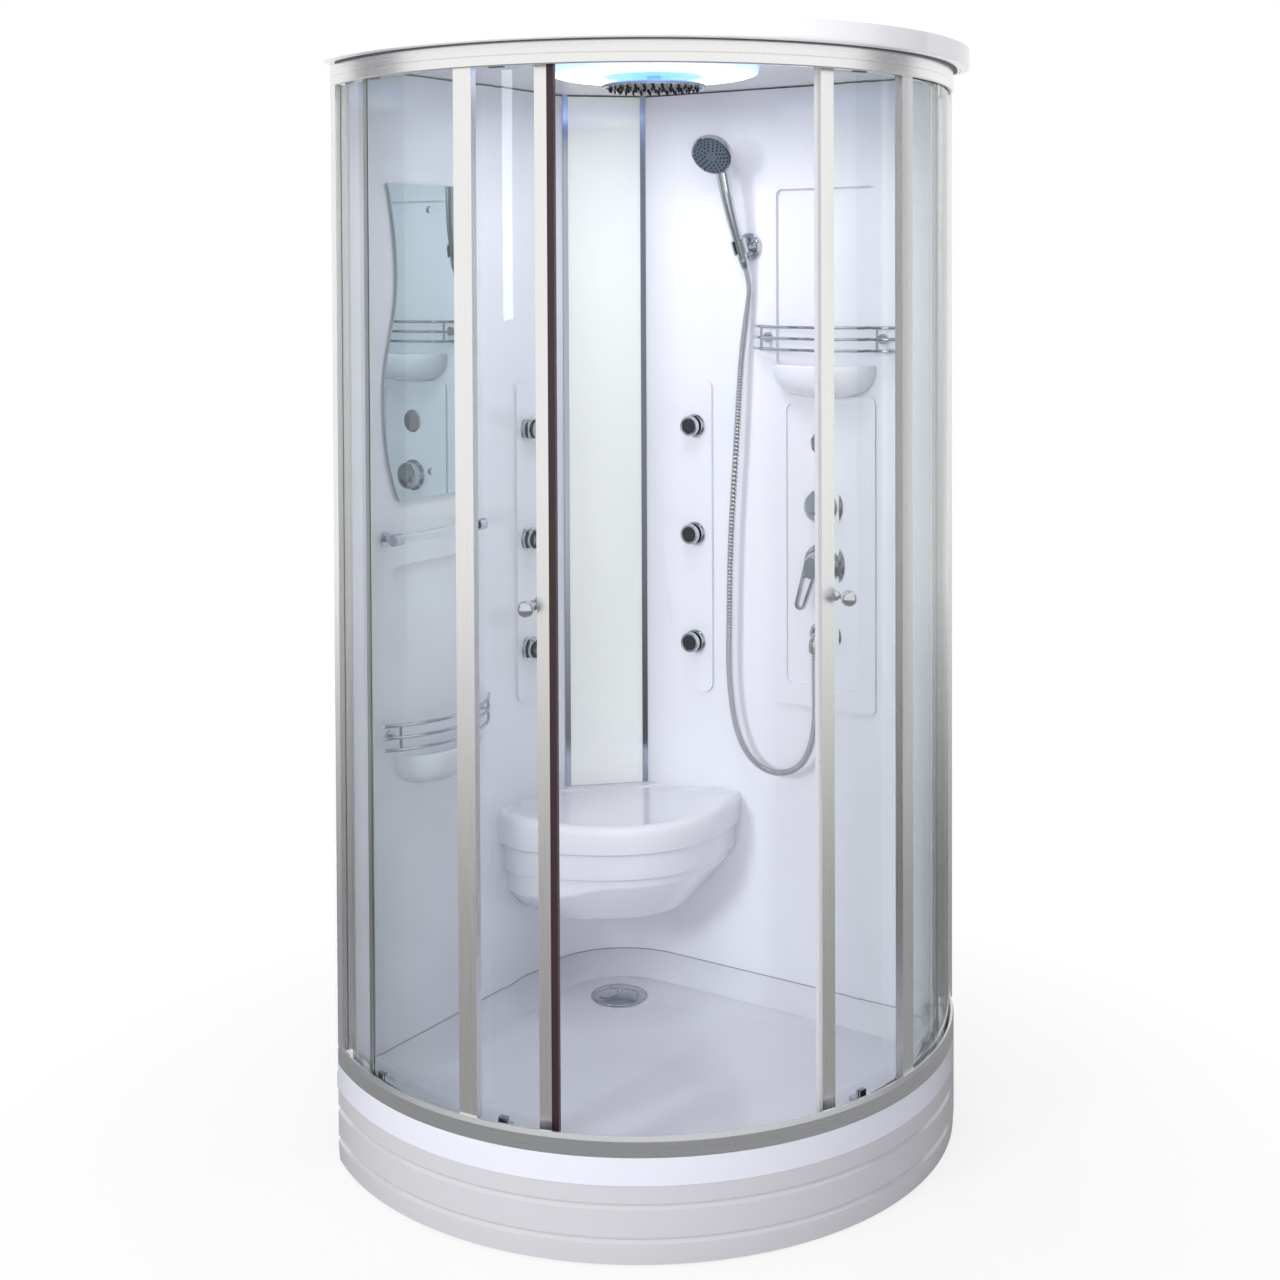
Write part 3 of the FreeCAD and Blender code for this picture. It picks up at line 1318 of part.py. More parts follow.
keep("mirror", moulded("mirror", twin(make_mirror())), at_arc_centre())
keep("mirror_studs", gather("mirror_studs", make_studs()), at_arc_centre())


def make_towel_bar():
    start = Vector(mm.bar_near, mm.wall_offset - mm.bar_standoff, mm.bar_height)
    return Part.makeCylinder(mm.bar_radius, mm.bar_far - mm.bar_near, start, Vector(1, 0, 0))


def make_bar_ends(bar):
    """A socket at each end of the bar, on an arm from a rose on the wall."""
    ends = []
    into = Vector(0, -1, 0)
    for across, way in ((mm.bar_near, 1), (mm.bar_far, -1)):
        foot = Vector(across + way * mm.bar_arm / 2, mm.wall_offset, mm.bar_height)
        rose = Part.makeCylinder(mm.bar_rose, mm.bar_rose_depth, foot, into)
        arm = Part.makeCylinder(mm.bar_arm, mm.bar_standoff, foot, into)
        start = Vector(across - way * mm.bar_arm, mm.wall_offset - mm.bar_standoff, mm.bar_height)
        socket = Part.makeCylinder(mm.bar_socket, mm.bar_socket_length, start, Vector(way, 0, 0))
        ends.append(twin(rose.fuse([arm, socket]).cut(bar)))
    return ends


acrylic = make_towel_bar()
keep("towel_bar", moulded("towel_bar", twin(acrylic)), at_arc_centre())
keep("towel_bar_ends", gather("towel_bar_ends", make_bar_ends(acrylic)), at_arc_centre())


def make_rack(height):
    """Bowed rods welded to two uprights, each held off the wall by a foot."""
    end_y = mm.wall_offset - mm.rack_end_gap
    bow_radius = (mm.rack_half ** 2 + mm.rack_bow ** 2) / (2 * mm.rack_bow)
    bow_angle = math.degrees(math.asin(mm.rack_half / bow_radius))
    rods = []
    for row in range(int(mm.rack_rows)):
        level = height + row * mm.rack_pitch
        centre = Vector(mm.niche_centre, end_y - mm.rack_bow + bow_radius, level)
        rod = Part.makeTorus(bow_radius, mm.rack_rod, Vector(0, 0, 0), UP, -HALF_TURN, HALF_TURN, 2 * bow_angle)
        rods.append(placed(rod, Placement(centre, Rotation(UP, -QUARTER - bow_angle))))
    span = (mm.rack_rows - 1) * mm.rack_pitch
    depth = mm.rack_bow - bow_radius + math.sqrt(bow_radius ** 2 - mm.rack_post ** 2)
    for side in (-1, 1):
        spot = Vector(mm.niche_centre + side * mm.rack_post, end_y - depth, height - mm.rack_rod)
        rods.append(Part.makeCylinder(mm.rack_post_rod, span + 2 * mm.rack_rod, spot))
        foot = Vector(spot.x, mm.wall_offset, height + span / 2)
        into = Vector(0, -1, 0)
        rods.append(Part.makeCylinder(mm.rack_foot_radius, mm.rack_foot_depth, foot, into))
        rods.append(Part.makeCylinder(mm.rack_post_rod, mm.rack_end_gap + depth, foot, into))
    return rods[0].fuse(rods[1:])


keep("racks", gather("racks", [twin(make_rack(mm.left_rack_height)), make_rack(mm.right_rack_height)]),
     at_arc_centre())


# Right wall: valves on a plaque, with their roses, cap, lever and diverter knob.

VALVE_RISE = mm.plaque_rise - mm.plaque_recess
at_mixer = on_right(mm.valve_across, mm.mixer_height, VALVE_RISE)
at_diverter = on_right(mm.valve_across, mm.diverter_height, VALVE_RISE)
at_outlet = on_right(mm.valve_across, mm.outlet_height, VALVE_RISE)
at_blank = on_right(mm.valve_across, mm.blank_height, VALVE_RISE)


def local(placement):
    """The same place, measured from the arc centre."""
    return Placement(placement.Base - ARC_CENTRE, placement.Rotation)


def rose_shape(radius, bore, depth):
    """A low domed rose with a bore."""
    points = [Vector(bore, 0, 0), Vector(radius, 0, 0), Vector(radius, 0, mm.flange_edge),
              Vector(radius - depth, 0, depth), Vector(bore, 0, depth)]
    return Part.Face(Part.makePolygon(points + points[:1])).revolve(Vector(0, 0, 0), UP, FULL_TURN)


def make_roses():
    return [
        placed(rose_shape(mm.mixer_flange_radius, mm.valve_sleeve, mm.flange_depth), local(at_mixer)),
        placed(rose_shape(mm.diverter_flange_radius, mm.valve_sleeve, mm.flange_depth), local(at_diverter)),
        placed(rose_shape(mm.blank_radius, 0.0, mm.blank_depth), local(at_blank)),
    ]


keep("valve_flanges", gather("valve_flanges", make_roses()), at_arc_centre())


def valve_block(place):
    """A valve body behind the wall, with its sleeve and spindle."""
    back = -VALVE_RISE - mm.wall_sheet
    block = Part.makeCylinder(mm.valve_body_radius, mm.valve_depth, UP * back, UP * -1)
    sleeve = Part.makeCylinder(mm.valve_sleeve, mm.flange_depth - back, UP * back)
    spindle = Part.makeCylinder(mm.spindle_radius, mm.spindle_reach)
    return placed(block.fuse([sleeve, spindle]), local(place))


def behind_wall(across, height):
    """A point on the pipe run in the gap behind the right-hand wall."""
    return Vector(across, mm.back_offset - mm.pipe_depth, height)


def make_elbow():
    """Outlet for the hose: rose, pipe through the wall, bend and nipple."""
    rose = rose_shape(mm.outlet_flange_radius, 0.0, mm.flange_depth)
    back = -VALVE_RISE - mm.wall_sheet - mm.valve_depth
    through = Part.makeCylinder(mm.outlet_pipe, -back, UP * back)
    bend = tube_along([Vector(0, 0, 0), Vector(0, 0, mm.elbow_reach), Vector(0, -mm.elbow_drop, mm.elbow_reach)],
                      mm.elbow_radius, [mm.pipe_bend])
    return rose.fuse([through, bend])


def make_sockets():
    """Ball seats of the body jets, three on each wall."""
    seat_radius = mm.jet_ball + mm.running_gap
    points = [Vector(0, 0, -mm.jet_back), Vector(mm.jet_stub, 0, -mm.jet_back), Vector(mm.jet_stub, 0, 0),
              Vector(mm.jet_flange, 0, 0), Vector(mm.jet_flange, 0, mm.jet_flange_depth),
              Vector(mm.jet_collar, 0, mm.jet_flange_depth + mm.seat_gap), Vector(mm.jet_collar, 0, mm.jet_collar_top),
              Vector(0, 0, mm.jet_collar_top)]
    body = Part.Face(Part.makePolygon(points + points[:1])).revolve(Vector(0, 0, 0), UP, FULL_TURN)
    socket = body.cut(Part.makeSphere(seat_radius, UP * mm.jet_ball_height))
    right = [placed(socket, local(on_right(-mm.jet_across, height, mm.jet_plaque_rise))) for height in JET_HEIGHTS]
    return right + [twin(shape) for shape in right]


sockets = make_sockets()
elbow = placed(make_elbow(), local(at_outlet))
keep("jet_sockets", gather("jet_sockets", sockets), at_arc_centre())
keep("hose_outlet", moulded("hose_outlet", elbow), at_arc_centre())


def make_plumbing():
    """Valve bodies and the pipes between them, in the gap behind the walls and over the ceiling."""
    bend = mm.pipe_bend
    across, depth = mm.valve_across, mm.back_offset - mm.pipe_depth
    top = mm.cabin_height - mm.riser_drop
    start = mm.pipe_start
    riser = tube_along([behind_wall(across + start, mm.diverter_height),
                        behind_wall(mm.riser_across, mm.diverter_height),
                        behind_wall(mm.riser_across, top), LAMP + UP * top,
                        LAMP + UP * (mm.ceiling_height + mm.roof_wall + mm.rose_edge)],
                       mm.pipe_radius, [bend, bend, bend])
    crossing = mm.diverter_height + mm.manifold_rise
    corner = mm.corner_pipe
    manifold = tube_along([behind_wall(across, mm.diverter_height + start), behind_wall(across, crossing),
                           behind_wall(-corner, crossing), Vector(-depth, corner, crossing),
                           Vector(-depth, mm.jet_across, crossing)], mm.pipe_radius, [bend, bend, bend])
    drop = mm.diverter_height - mm.riser_drop
    link = across - mm.link_across
    outlet = tube_along([behind_wall(across - start, drop), behind_wall(link, drop),
                         behind_wall(link, mm.outlet_height), behind_wall(across, mm.outlet_height)],
                        mm.pipe_radius, [bend, bend])
    bridge = Part.makeCylinder(mm.pipe_radius, mm.diverter_height - mm.mixer_height - 2 * start,
                               behind_wall(across, mm.mixer_height + start))
    jet_span = JET_HEIGHTS[0] - JET_HEIGHTS[-1]
    jet_pipe = Part.makeCylinder(mm.jet_pipe_radius, jet_span, behind_wall(-mm.jet_across, JET_HEIGHTS[-1]))
    inlets = []
    outwards = Vector(0, 1, 0)
    for side in (-1, 1):
        foot = behind_wall(across + side * mm.inlet_spread, mm.mixer_height - mm.inlet_drop)
        inlets.append(Part.makeCylinder(mm.pipe_radius, mm.inlet_drop, foot))
        inlets.append(Part.makeCylinder(mm.pipe_radius, mm.pipe_depth, foot, outwards))
        inlets.append(Part.makeCylinder(mm.inlet_radius, mm.pipe_depth - mm.inlet_neck,
                                        foot + outwards * mm.inlet_neck, outwards))
    pieces = [riser, manifold, outlet, bridge, jet_pipe, twin(jet_pipe)] + inlets
    pieces = valve_block(at_mixer).fuse([valve_block(at_diverter)] + pieces)
    plug = Part.makeCylinder(mm.jet_stub, mm.jet_back, UP * -mm.jet_back)
    plugs = [placed(plug, local(on_right(-mm.jet_across, height, mm.jet_plaque_rise))) for height in JET_HEIGHTS]
    return pieces.cut(plugs + [twin(shape) for shape in plugs] + [elbow])


keep("plumbing", moulded("plumbing", make_plumbing()), at_arc_centre())


def cap_dome(radius, top, edge):
    """A round cap whose crown is part of a ball."""
    low = mm.flange_depth + mm.running_gap
    crown = top - edge
    ball_radius = (radius ** 2 + crown ** 2) / (2 * crown)
    plug = Part.makeCylinder(radius, top - low, UP * low)
    return plug.common(Part.makeSphere(ball_radius, UP * (top - ball_radius)))


def spindle_bore():
    reach = mm.spindle_reach + mm.running_gap
    return Part.makeCylinder(mm.spindle_radius + mm.bearing_gap, reach)


def make_mixer_cap():
    """The cap turns on the spindle and has a slot and cross bore for the lever."""
    dome = cap_dome(mm.cap_radius, mm.cap_top, mm.cap_edge)
    half = mm.lever_neck + mm.lever_slot_gap
    slot = Part.makeBox(2 * half, 2 * half + mm.lever_lift_room, mm.cap_top, Vector(-half, -half, mm.cap_floor))
    bore = Part.makeCylinder(mm.lever_axle + mm.bearing_gap, 2 * mm.lever_axle_half + 2 * mm.running_gap,
                             Vector(-mm.lever_axle_half - mm.running_gap, 0, mm.lever_pivot), Vector(1, 0, 0))
    return dome.cut([spindle_bore(), slot, bore])


def lever_outline(inset, z):
    """An egg-shaped ring outline that narrows towards its tip."""
    wide, slim = mm.lever_half - inset, mm.lever_tip_half - inset
    top = Vector(0, mm.lever_up - inset, z)
    right = Vector(wide, mm.lever_up - mm.lever_half, z)
    left = Vector(-wide, mm.lever_up - mm.lever_half, z)
    low_right = Vector(slim, mm.lever_tip_half - mm.lever_down, z)
    low_left = Vector(-slim, mm.lever_tip_half - mm.lever_down, z)
    bottom = Vector(0, inset - mm.lever_down, z)
    return Part.Wire([Part.Arc(left, top, right).toShape(), Part.LineSegment(right, low_right).toShape(),
                      Part.Arc(low_right, bottom, low_left).toShape(), Part.LineSegment(low_left, left).toShape()])


def make_lever():
    """A loop lever on a neck, with the cross axle it rocks on."""
    plate = Part.Face(lever_outline(0.0, mm.lever_start)).extrude(UP * mm.lever_wall)
    opening = Part.Face(lever_outline(mm.lever_ring, mm.lever_start - mm.overrun))
    opening = opening.extrude(UP * (mm.lever_wall + 2 * mm.overrun))
    keep_solid = Part.makeCylinder(mm.lever_half + mm.lever_ring, mm.cabin_height)
    neck = Part.makeCylinder(mm.lever_neck, mm.lever_start - mm.lever_pivot + mm.lever_wall / 2,
                             UP * mm.lever_pivot)
    ball = Part.makeSphere(mm.lever_neck, UP * mm.lever_pivot)
    axle = Part.makeCylinder(mm.lever_axle, 2 * mm.lever_axle_half, Vector(-mm.lever_axle_half, 0, mm.lever_pivot),
                             Vector(1, 0, 0))
    return plate.cut(opening.cut(keep_solid)).fuse([neck, ball, axle])


def make_diverter_knob():
    """A dome with one slanting flat."""
    dome = cap_dome(mm.knob_turn_radius, mm.knob_turn_top, mm.knob_turn_top - mm.knob_turn_crown)
    slab_size = 2 * mm.knob_turn_radius
    flat = Part.makeBox(slab_size, slab_size, slab_size, Vector(-slab_size / 2, -slab_size / 2, 0))
    lean = math.degrees(math.atan2(mm.knob_turn_crown, mm.knob_turn_radius))
    flat = placed(flat, Placement(UP * (mm.knob_turn_top - mm.knob_flat_depth / 2),
                                  Rotation(Vector(1, 0, 0), -lean)))
    return dome.cut([flat, spindle_bore()])


turned_mixer = at_mixer.multiply(Placement(Vector(), Rotation(UP, -mm.lever_turn)))
keep("mixer_cap", moulded("mixer_cap", make_mixer_cap()), turned_mixer)
keep("mixer_lever", moulded("mixer_lever", make_lever()), turned_mixer)
keep("diverter_knob", moulded("diverter_knob", make_diverter_knob()), at_diverter)


# Body jets: a ball with a flat head, pierced by a ring of holes.

def make_jet():
    ball = Part.makeSphere(mm.jet_ball, UP * mm.jet_ball_height)
    head = Part.makeCylinder(mm.jet_head, mm.jet_head_end - mm.jet_head_start, UP * mm.jet_head_start)
    bowl = Part.makeCylinder(mm.jet_face, mm.jet_face_depth, UP * (mm.jet_head_end - mm.jet_face_depth))
    holes = [Part.makeCylinder(mm.jet_hole, mm.jet_head_end - mm.jet_head_start,
                               Rotation(UP, FULL_TURN * step / 6).multVec(Vector(mm.jet_hole_ring, 0, mm.jet_head_start)))
             for step in range(6)]
    return ball.fuse(head).cut([bowl] + holes)


for number, height in enumerate(JET_HEIGHTS, start=1):
    for side, place in (("left", on_left(-mm.jet_across, height, mm.jet_plaque_rise)),
                        ("right", on_right(-mm.jet_across, height, mm.jet_plaque_rise))):
        label = "jet_%s_%d" % (side, number)
        keep(label, moulded(label, make_jet()), place)


# Hand shower on its wall bracket, and the hose to it.

at_holder = on_right(mm.handset_across, mm.holder_height)


def make_bracket():
    rose = rose_shape(mm.holder_rose, 0.0, mm.holder_rose_depth)
    arm = Part.makeCylinder(mm.holder_arm, mm.holder_arm_end)
    pin = Part.makeCylinder(mm.holder_pin, mm.holder_pin_end)
    return rose.fuse([arm, pin])


# The handle leans away from the bracket. In wall terms X is across, Y is up and Z is into the cabin.
HANDLE_WAY = Vector(-mm.handset_lean_side, mm.handset_lean_up, mm.handset_lean_out).normalize()
CLIP_SPOT = UP * mm.holder_reach


def handle_frame():
    """Local Z runs up the handle and local X looks out of the spray face."""
    out = (UP - HANDLE_WAY * UP.dot(HANDLE_WAY)).normalize()
    side = HANDLE_WAY.cross(out)
    grid = Matrix(out.x, side.x, HANDLE_WAY.x, 0, out.y, side.y, HANDLE_WAY.y, 0,
                  out.z, side.z, HANDLE_WAY.z, 0, 0, 0, 0, 1)
    return Placement(CLIP_SPOT, Rotation(grid))


def make_clip():
    start = mm.holder_arm_end + mm.running_gap
    stub = Part.makeCylinder(mm.holder_arm, mm.holder_reach - start, UP * start)
    ring = Part.makeCylinder(mm.clip_radius, 2 * mm.clip_half, UP * -mm.clip_half)
    bore = Part.makeCylinder(mm.handle_radius + mm.bearing_gap, 2 * mm.clip_radius + 2 * mm.clip_half,
                             UP * (-mm.clip_radius - mm.clip_half))
    slot = Part.makeBox(2 * mm.clip_radius, 2 * mm.clip_slot_half, 2 * mm.clip_half + 2 * mm.overrun,
                        Vector(0, -mm.clip_slot_half, -mm.clip_half - mm.overrun))
    frame = handle_frame()
    pin_bore = Part.makeCylinder(mm.holder_pin + mm.bearing_gap, mm.holder_pin_end + mm.running_gap)
    return stub.fuse(placed(ring, frame)).cut([placed(bore, frame), placed(slot, frame), pin_bore])


def head_frame():
    """The spray head leans down from the handle."""
    lean = Rotation(Vector(0, 1, 0), QUARTER + mm.head_tilt)
    return handle_frame().multiply(Placement(UP * mm.head_reach, lean))


def turn_about_z(points):
    return Part.Face(Part.makePolygon(points + points[:1])).revolve(Vector(0, 0, 0), UP, FULL_TURN)


def make_handset():
    """Handle, head and hose nut in one."""
    shoulder = mm.clip_half + mm.overrun
    handle = turn_about_z([
        Vector(0, 0, -mm.handle_tail - mm.hose_nut_length),
        Vector(mm.hose_nut_radius, 0, -mm.handle_tail - mm.hose_nut_length),
        Vector(mm.hose_nut_radius, 0, -mm.handle_tail),
        Vector(mm.handle_radius, 0, -mm.handle_tail),
        Vector(mm.handle_radius, 0, shoulder),
        Vector(mm.handle_belly, 0, (shoulder + mm.handle_reach) / 2),
        Vector(mm.handle_neck, 0, mm.handle_reach),
        Vector(mm.handle_neck, 0, mm.head_reach - mm.handle_neck),
        Vector(0, 0, mm.head_reach - mm.handle_neck),
    ])
    head = turn_about_z([
        Vector(0, 0, mm.head_front - mm.head_depth),
        Vector(mm.head_back, 0, mm.head_front - mm.head_depth),
        Vector((mm.head_back + 2 * mm.head_radius) / 3, 0, -mm.head_front),
        Vector(mm.head_radius, 0, 0),
        Vector(mm.head_radius, 0, mm.head_front),
        Vector(0, 0, mm.head_front),
    ])
    pin_hole = Part.makeCylinder(mm.dial_pin + mm.bearing_gap, mm.dial_pin_depth,
                                 UP * (mm.head_front - mm.dial_pin_depth))
    face_room = Part.makeCylinder(mm.head_radius, mm.head_radius, UP * mm.head_front)
    return placed(handle, handle_frame()).fuse(placed(head, head_frame())).cut(
        [placed(pin_hole, head_frame()), placed(face_room, head_frame())])


def make_dial():
    """The face turns on a pin to choose the spray, by a tab at its rim."""
    low = mm.head_front + mm.running_gap
    disc = Part.makeCylinder(mm.dial_radius, mm.dial_depth, UP * low)
    pin = Part.makeCylinder(mm.dial_pin, mm.dial_pin_depth - mm.running_gap,
                            UP * (mm.head_front - mm.dial_pin_depth + 2 * mm.running_gap))
    tab = Part.makeBox(mm.dial_tab_reach, mm.dial_tab_width, mm.dial_depth,
                       Vector(0, -mm.dial_tab_width / 2, low))
    return placed(disc.fuse([pin, tab]), head_frame())


keep("holder_bracket", moulded("holder_bracket", make_bracket()), at_holder)
keep("handset_clip", moulded("handset_clip", make_clip()), at_holder)
keep("handset", moulded("handset", make_handset()), at_holder)
keep("spray_dial", moulded("spray_dial", make_dial()), at_holder)


def hose_point(across, into, height):
    return Vector(across, mm.wall_offset - into, height)


# The hose hangs from the outlet, turns up again and runs to the tail of the hand shower.
TAIL_DROP = mm.handle_tail + mm.hose_nut_length
TAIL = local(at_holder).multVec(handle_frame().multVec(UP * -TAIL_DROP))
BELOW_TAIL = local(at_holder).multVec(handle_frame().multVec(UP * -(TAIL_DROP + mm.hose_straight)))
NIPPLE = local(at_outlet).multVec(Vector(0, -mm.elbow_drop, mm.elbow_reach))
HOSE_ROUTE = [
    NIPPLE,
    hose_point(252.0, 39.0, 850.0),
    hose_point(255.0, 40.0, 780.0),
    hose_point(246.0, 38.0, 710.0),
    hose_point(222.0, 37.0, 661.0),
    hose_point(180.0, 36.0, 634.0),
    hose_point(128.0, 37.0, 634.0),
    hose_point(84.0, 36.0, 662.0),
    hose_point(58.0, 37.0, 712.0),
    hose_point(44.0, 36.0, 780.0),
    hose_point(39.0, 37.0, 850.0),
    hose_point(40.0, 36.0, 943.0),
    hose_point(43.0, 38.0, 1073.0),
    hose_point(49.0, 37.0, 1201.0),
    hose_point(61.0, 36.0, 1364.0),
    hose_point(67.0, 34.0, 1480.0),
    hose_point(73.0, 29.0, 1570.0),
    hose_point(80.0, 22.0, 1634.0),
    BELOW_TAIL,
    TAIL,
]


def hose_bends():
    """Every bend is as large as the runs beside it allow."""
    bends = []
    for before, here, after in zip(HOSE_ROUTE, HOSE_ROUTE[1:], HOSE_ROUTE[2:]):
        shorter = min((here - before).Length, (after - here).Length)
        half_turn = (here - before).getAngle(after - here) / 2
        bends.append(0.45 * shorter / math.tan(half_turn))
    return bends


BENDS = hose_bends()
hose = tube_along(HOSE_ROUTE, mm.hose_radius, BENDS)
keep("shower_hose", moulded("shower_hose", hose), at_arc_centre())
print("hose bend radii", [round(bend) for bend in BENDS])
section = math.pi * mm.hose_radius ** 2
print("hose length", round(hose.Volume / section, 1))


doc.recompute()
faulty = [item.Name for item in doc.Objects if "Invalid" in item.State or "Error" in item.State]
for label, piece in PARTS.items():
    shape = piece.Shape
    if shape.isNull() or not shape.isValid() or not shape.Solids:
        faulty.append(label)
if faulty:
    raise RuntimeError("not built: " + ", ".join(faulty))

os.makedirs("parts", exist_ok=True)
for label, piece in PARTS.items():
    piece.Shape.exportStep("parts/" + label + ".step")
print(len(PARTS), "parts")
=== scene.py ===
"""Quarter-round shower cabin: finishes, hose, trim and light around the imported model."""

import json
import math

import bpy
from mathutils import Matrix, Vector


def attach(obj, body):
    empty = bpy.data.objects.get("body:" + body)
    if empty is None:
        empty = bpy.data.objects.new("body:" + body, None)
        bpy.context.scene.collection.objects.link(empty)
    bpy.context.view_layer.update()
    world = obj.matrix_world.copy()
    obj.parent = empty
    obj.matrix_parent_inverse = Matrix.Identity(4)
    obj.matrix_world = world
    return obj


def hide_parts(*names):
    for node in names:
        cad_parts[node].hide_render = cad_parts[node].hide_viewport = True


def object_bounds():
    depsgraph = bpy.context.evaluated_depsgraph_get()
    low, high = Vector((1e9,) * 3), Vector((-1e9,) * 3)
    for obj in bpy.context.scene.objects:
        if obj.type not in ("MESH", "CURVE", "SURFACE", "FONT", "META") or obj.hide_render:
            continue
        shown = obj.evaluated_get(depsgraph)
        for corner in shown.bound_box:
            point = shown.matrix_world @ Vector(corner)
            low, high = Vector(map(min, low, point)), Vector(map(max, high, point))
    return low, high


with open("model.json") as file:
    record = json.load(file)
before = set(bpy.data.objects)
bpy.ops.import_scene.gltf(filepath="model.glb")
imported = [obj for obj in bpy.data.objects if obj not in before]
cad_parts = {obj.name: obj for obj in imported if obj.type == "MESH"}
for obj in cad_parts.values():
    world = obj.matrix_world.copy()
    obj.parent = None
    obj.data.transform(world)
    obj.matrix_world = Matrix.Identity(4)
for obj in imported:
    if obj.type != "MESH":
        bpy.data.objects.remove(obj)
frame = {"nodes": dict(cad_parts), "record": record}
cad_low, cad_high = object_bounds()

# The centre of the curved front stands this far from the frame's own origin, in metres.
ARC_X, ARC_Y = -0.156, 0.156
UP = Vector((0, 0, 1))
STRAIGHT = Vector((0, 0, 0))


def in_frame(x, y, z):
    """A point given in millimetres from the centre of the curved front, as metres in the frame."""
    return Vector((ARC_X + x / 1000, ARC_Y + y / 1000, z / 1000))


# --- camera -------------------------------------------------------------------------------

CAMERA_SPOT = (2056.0, -3093.8, 1714.7)
CAMERA_TURN, CAMERA_DIP, CAMERA_ROLL = math.radians(33.5335), math.radians(1.3407), math.radians(-0.2497)
LENS_LENGTH, SENSOR_WIDTH, LENS_DROP = 50.807, 36.0, -0.2542


def place_camera():
    """Eye level, turned to the left and looking almost level, with the lens dropped like a shift lens."""
    ahead = Vector((-math.sin(CAMERA_TURN), math.cos(CAMERA_TURN), 0))
    across = Vector((math.cos(CAMERA_TURN), math.sin(CAMERA_TURN), 0))
    look = ahead * math.cos(CAMERA_DIP) - UP * math.sin(CAMERA_DIP)
    over = UP * math.cos(CAMERA_DIP) + ahead * math.sin(CAMERA_DIP)
    side = across * math.cos(CAMERA_ROLL) + over * math.sin(CAMERA_ROLL)
    top = over * math.cos(CAMERA_ROLL) - across * math.sin(CAMERA_ROLL)
    lens = bpy.data.cameras.new("photo_camera")
    lens.lens, lens.sensor_width = LENS_LENGTH, SENSOR_WIDTH
    lens.shift_x, lens.shift_y = 0.0, LENS_DROP
    lens.clip_end = 60.0
    camera = bpy.data.objects.new("photo_camera", lens)
    bpy.context.collection.objects.link(camera)
    turned = Matrix((side, top, -look)).transposed()
    camera.matrix_world = Matrix.Translation(in_frame(*CAMERA_SPOT)) @ turned.to_4x4()
    bpy.context.scene.camera = camera


# --- shader nodes -------------------------------------------------------------------------


def math_node(tree, work, first, second=0.0):
    """A Math node fed by sockets or plain numbers."""
    node = tree.nodes.new("ShaderNodeMath")
    node.operation = work
    for index, value in enumerate((first, second)):
        if isinstance(value, (int, float)):
            node.inputs[index].default_value = value
        else:
            tree.links.new(value, node.inputs[index])
    return node.outputs[0]


def vector_node(tree, work, first, second=None):
    """A Vector Math node on a socket, with a plain vector as its second term."""
    node = tree.nodes.new("ShaderNodeVectorMath")
    node.operation = work
    tree.links.new(first, node.inputs[0])
    if second is not None:
        node.inputs[1].default_value = second
    return node.outputs["Value" if work == "LENGTH" else "Vector"]


def ramp_node(tree, value, start, end, least=0.0):
    """Rises from the least to one while the value goes from start to end."""
    node = tree.nodes.new("ShaderNodeMapRange")
    node.inputs["From Min"].default_value, node.inputs["From Max"].default_value = start, end
    node.inputs["To Min"].default_value = least
    tree.links.new(value, node.inputs["Value"])
    return node.outputs["Result"]


def noise_node(tree, place, scale, detail=2.0):
    """Noise on a vector socket; scale is a number or a socket."""
    node = tree.nodes.new("ShaderNodeTexNoise")
    node.inputs["Detail"].default_value = detail
    tree.links.new(place, node.inputs["Vector"])
    if isinstance(scale, (int, float)):
        node.inputs["Scale"].default_value = scale
    else:
        tree.links.new(scale, node.inputs["Scale"])
    return node.outputs["Fac"]


def mix_shaders(tree, share, first, second):
    """A node that gives the first shader where the share is nought, and the second where it is one."""
    node = tree.nodes.new("ShaderNodeMixShader")
    tree.links.new(share, node.inputs[0])
    tree.links.new(first.outputs[0], node.inputs[1])
    tree.links.new(second.outputs[0], node.inputs[2])
    return node


def object_place(tree, stretch=(1, 1, 1)):
    """Object coordinates, stretched along the axes so that a pattern runs into streaks."""
    coordinates = tree.nodes.new("ShaderNodeTexCoord")
    mapping = tree.nodes.new("ShaderNodeMapping")
    mapping.inputs["Scale"].default_value = stretch
    tree.links.new(coordinates.outputs["Object"], mapping.inputs["Vector"])
    return mapping.outputs["Vector"]


# --- shared effects -----------------------------------------------------------------------

LOOK = {"Color": "NodeSocketColor", "Roughness": "NodeSocketFloat", "Height": "NodeSocketFloat"}


def effect(name, takes, **more):
    """An empty shader group with named sockets to take numbers and colours, and the look that it gives."""
    tree = bpy.data.node_groups.new(name, "ShaderNodeTree")
    for label, start in takes.items():
        kind = "NodeSocketColor" if isinstance(start, tuple) else "NodeSocketFloat"
        socket = tree.interface.new_socket(label, in_out="INPUT", socket_type=kind)
        socket.default_value = start
    for label, kind in {**LOOK, **more}.items():
        tree.interface.new_socket(label, in_out="OUTPUT", socket_type=kind)
    return tree, tree.nodes.new("NodeGroupInput"), tree.nodes.new("NodeGroupOutput")


def off_half(tree, mask, amount):
    """How far a mask lies from a half, times an amount."""
    return math_node(tree, "MULTIPLY", math_node(tree, "SUBTRACT", mask, 0.5), amount)


def shade_by(tree, takes, gives, mask, amount):
    """The colour brightened and darkened a little by a mask round a half."""
    level = math_node(tree, "ADD", off_half(tree, mask, amount), 1.0)
    scaled = tree.nodes.new("ShaderNodeVectorMath")
    scaled.operation = "SCALE"
    tree.links.new(takes.outputs["Color"], scaled.inputs[0])
    tree.links.new(level, scaled.inputs["Scale"])
    tree.links.new(scaled.outputs[0], gives.inputs["Color"])


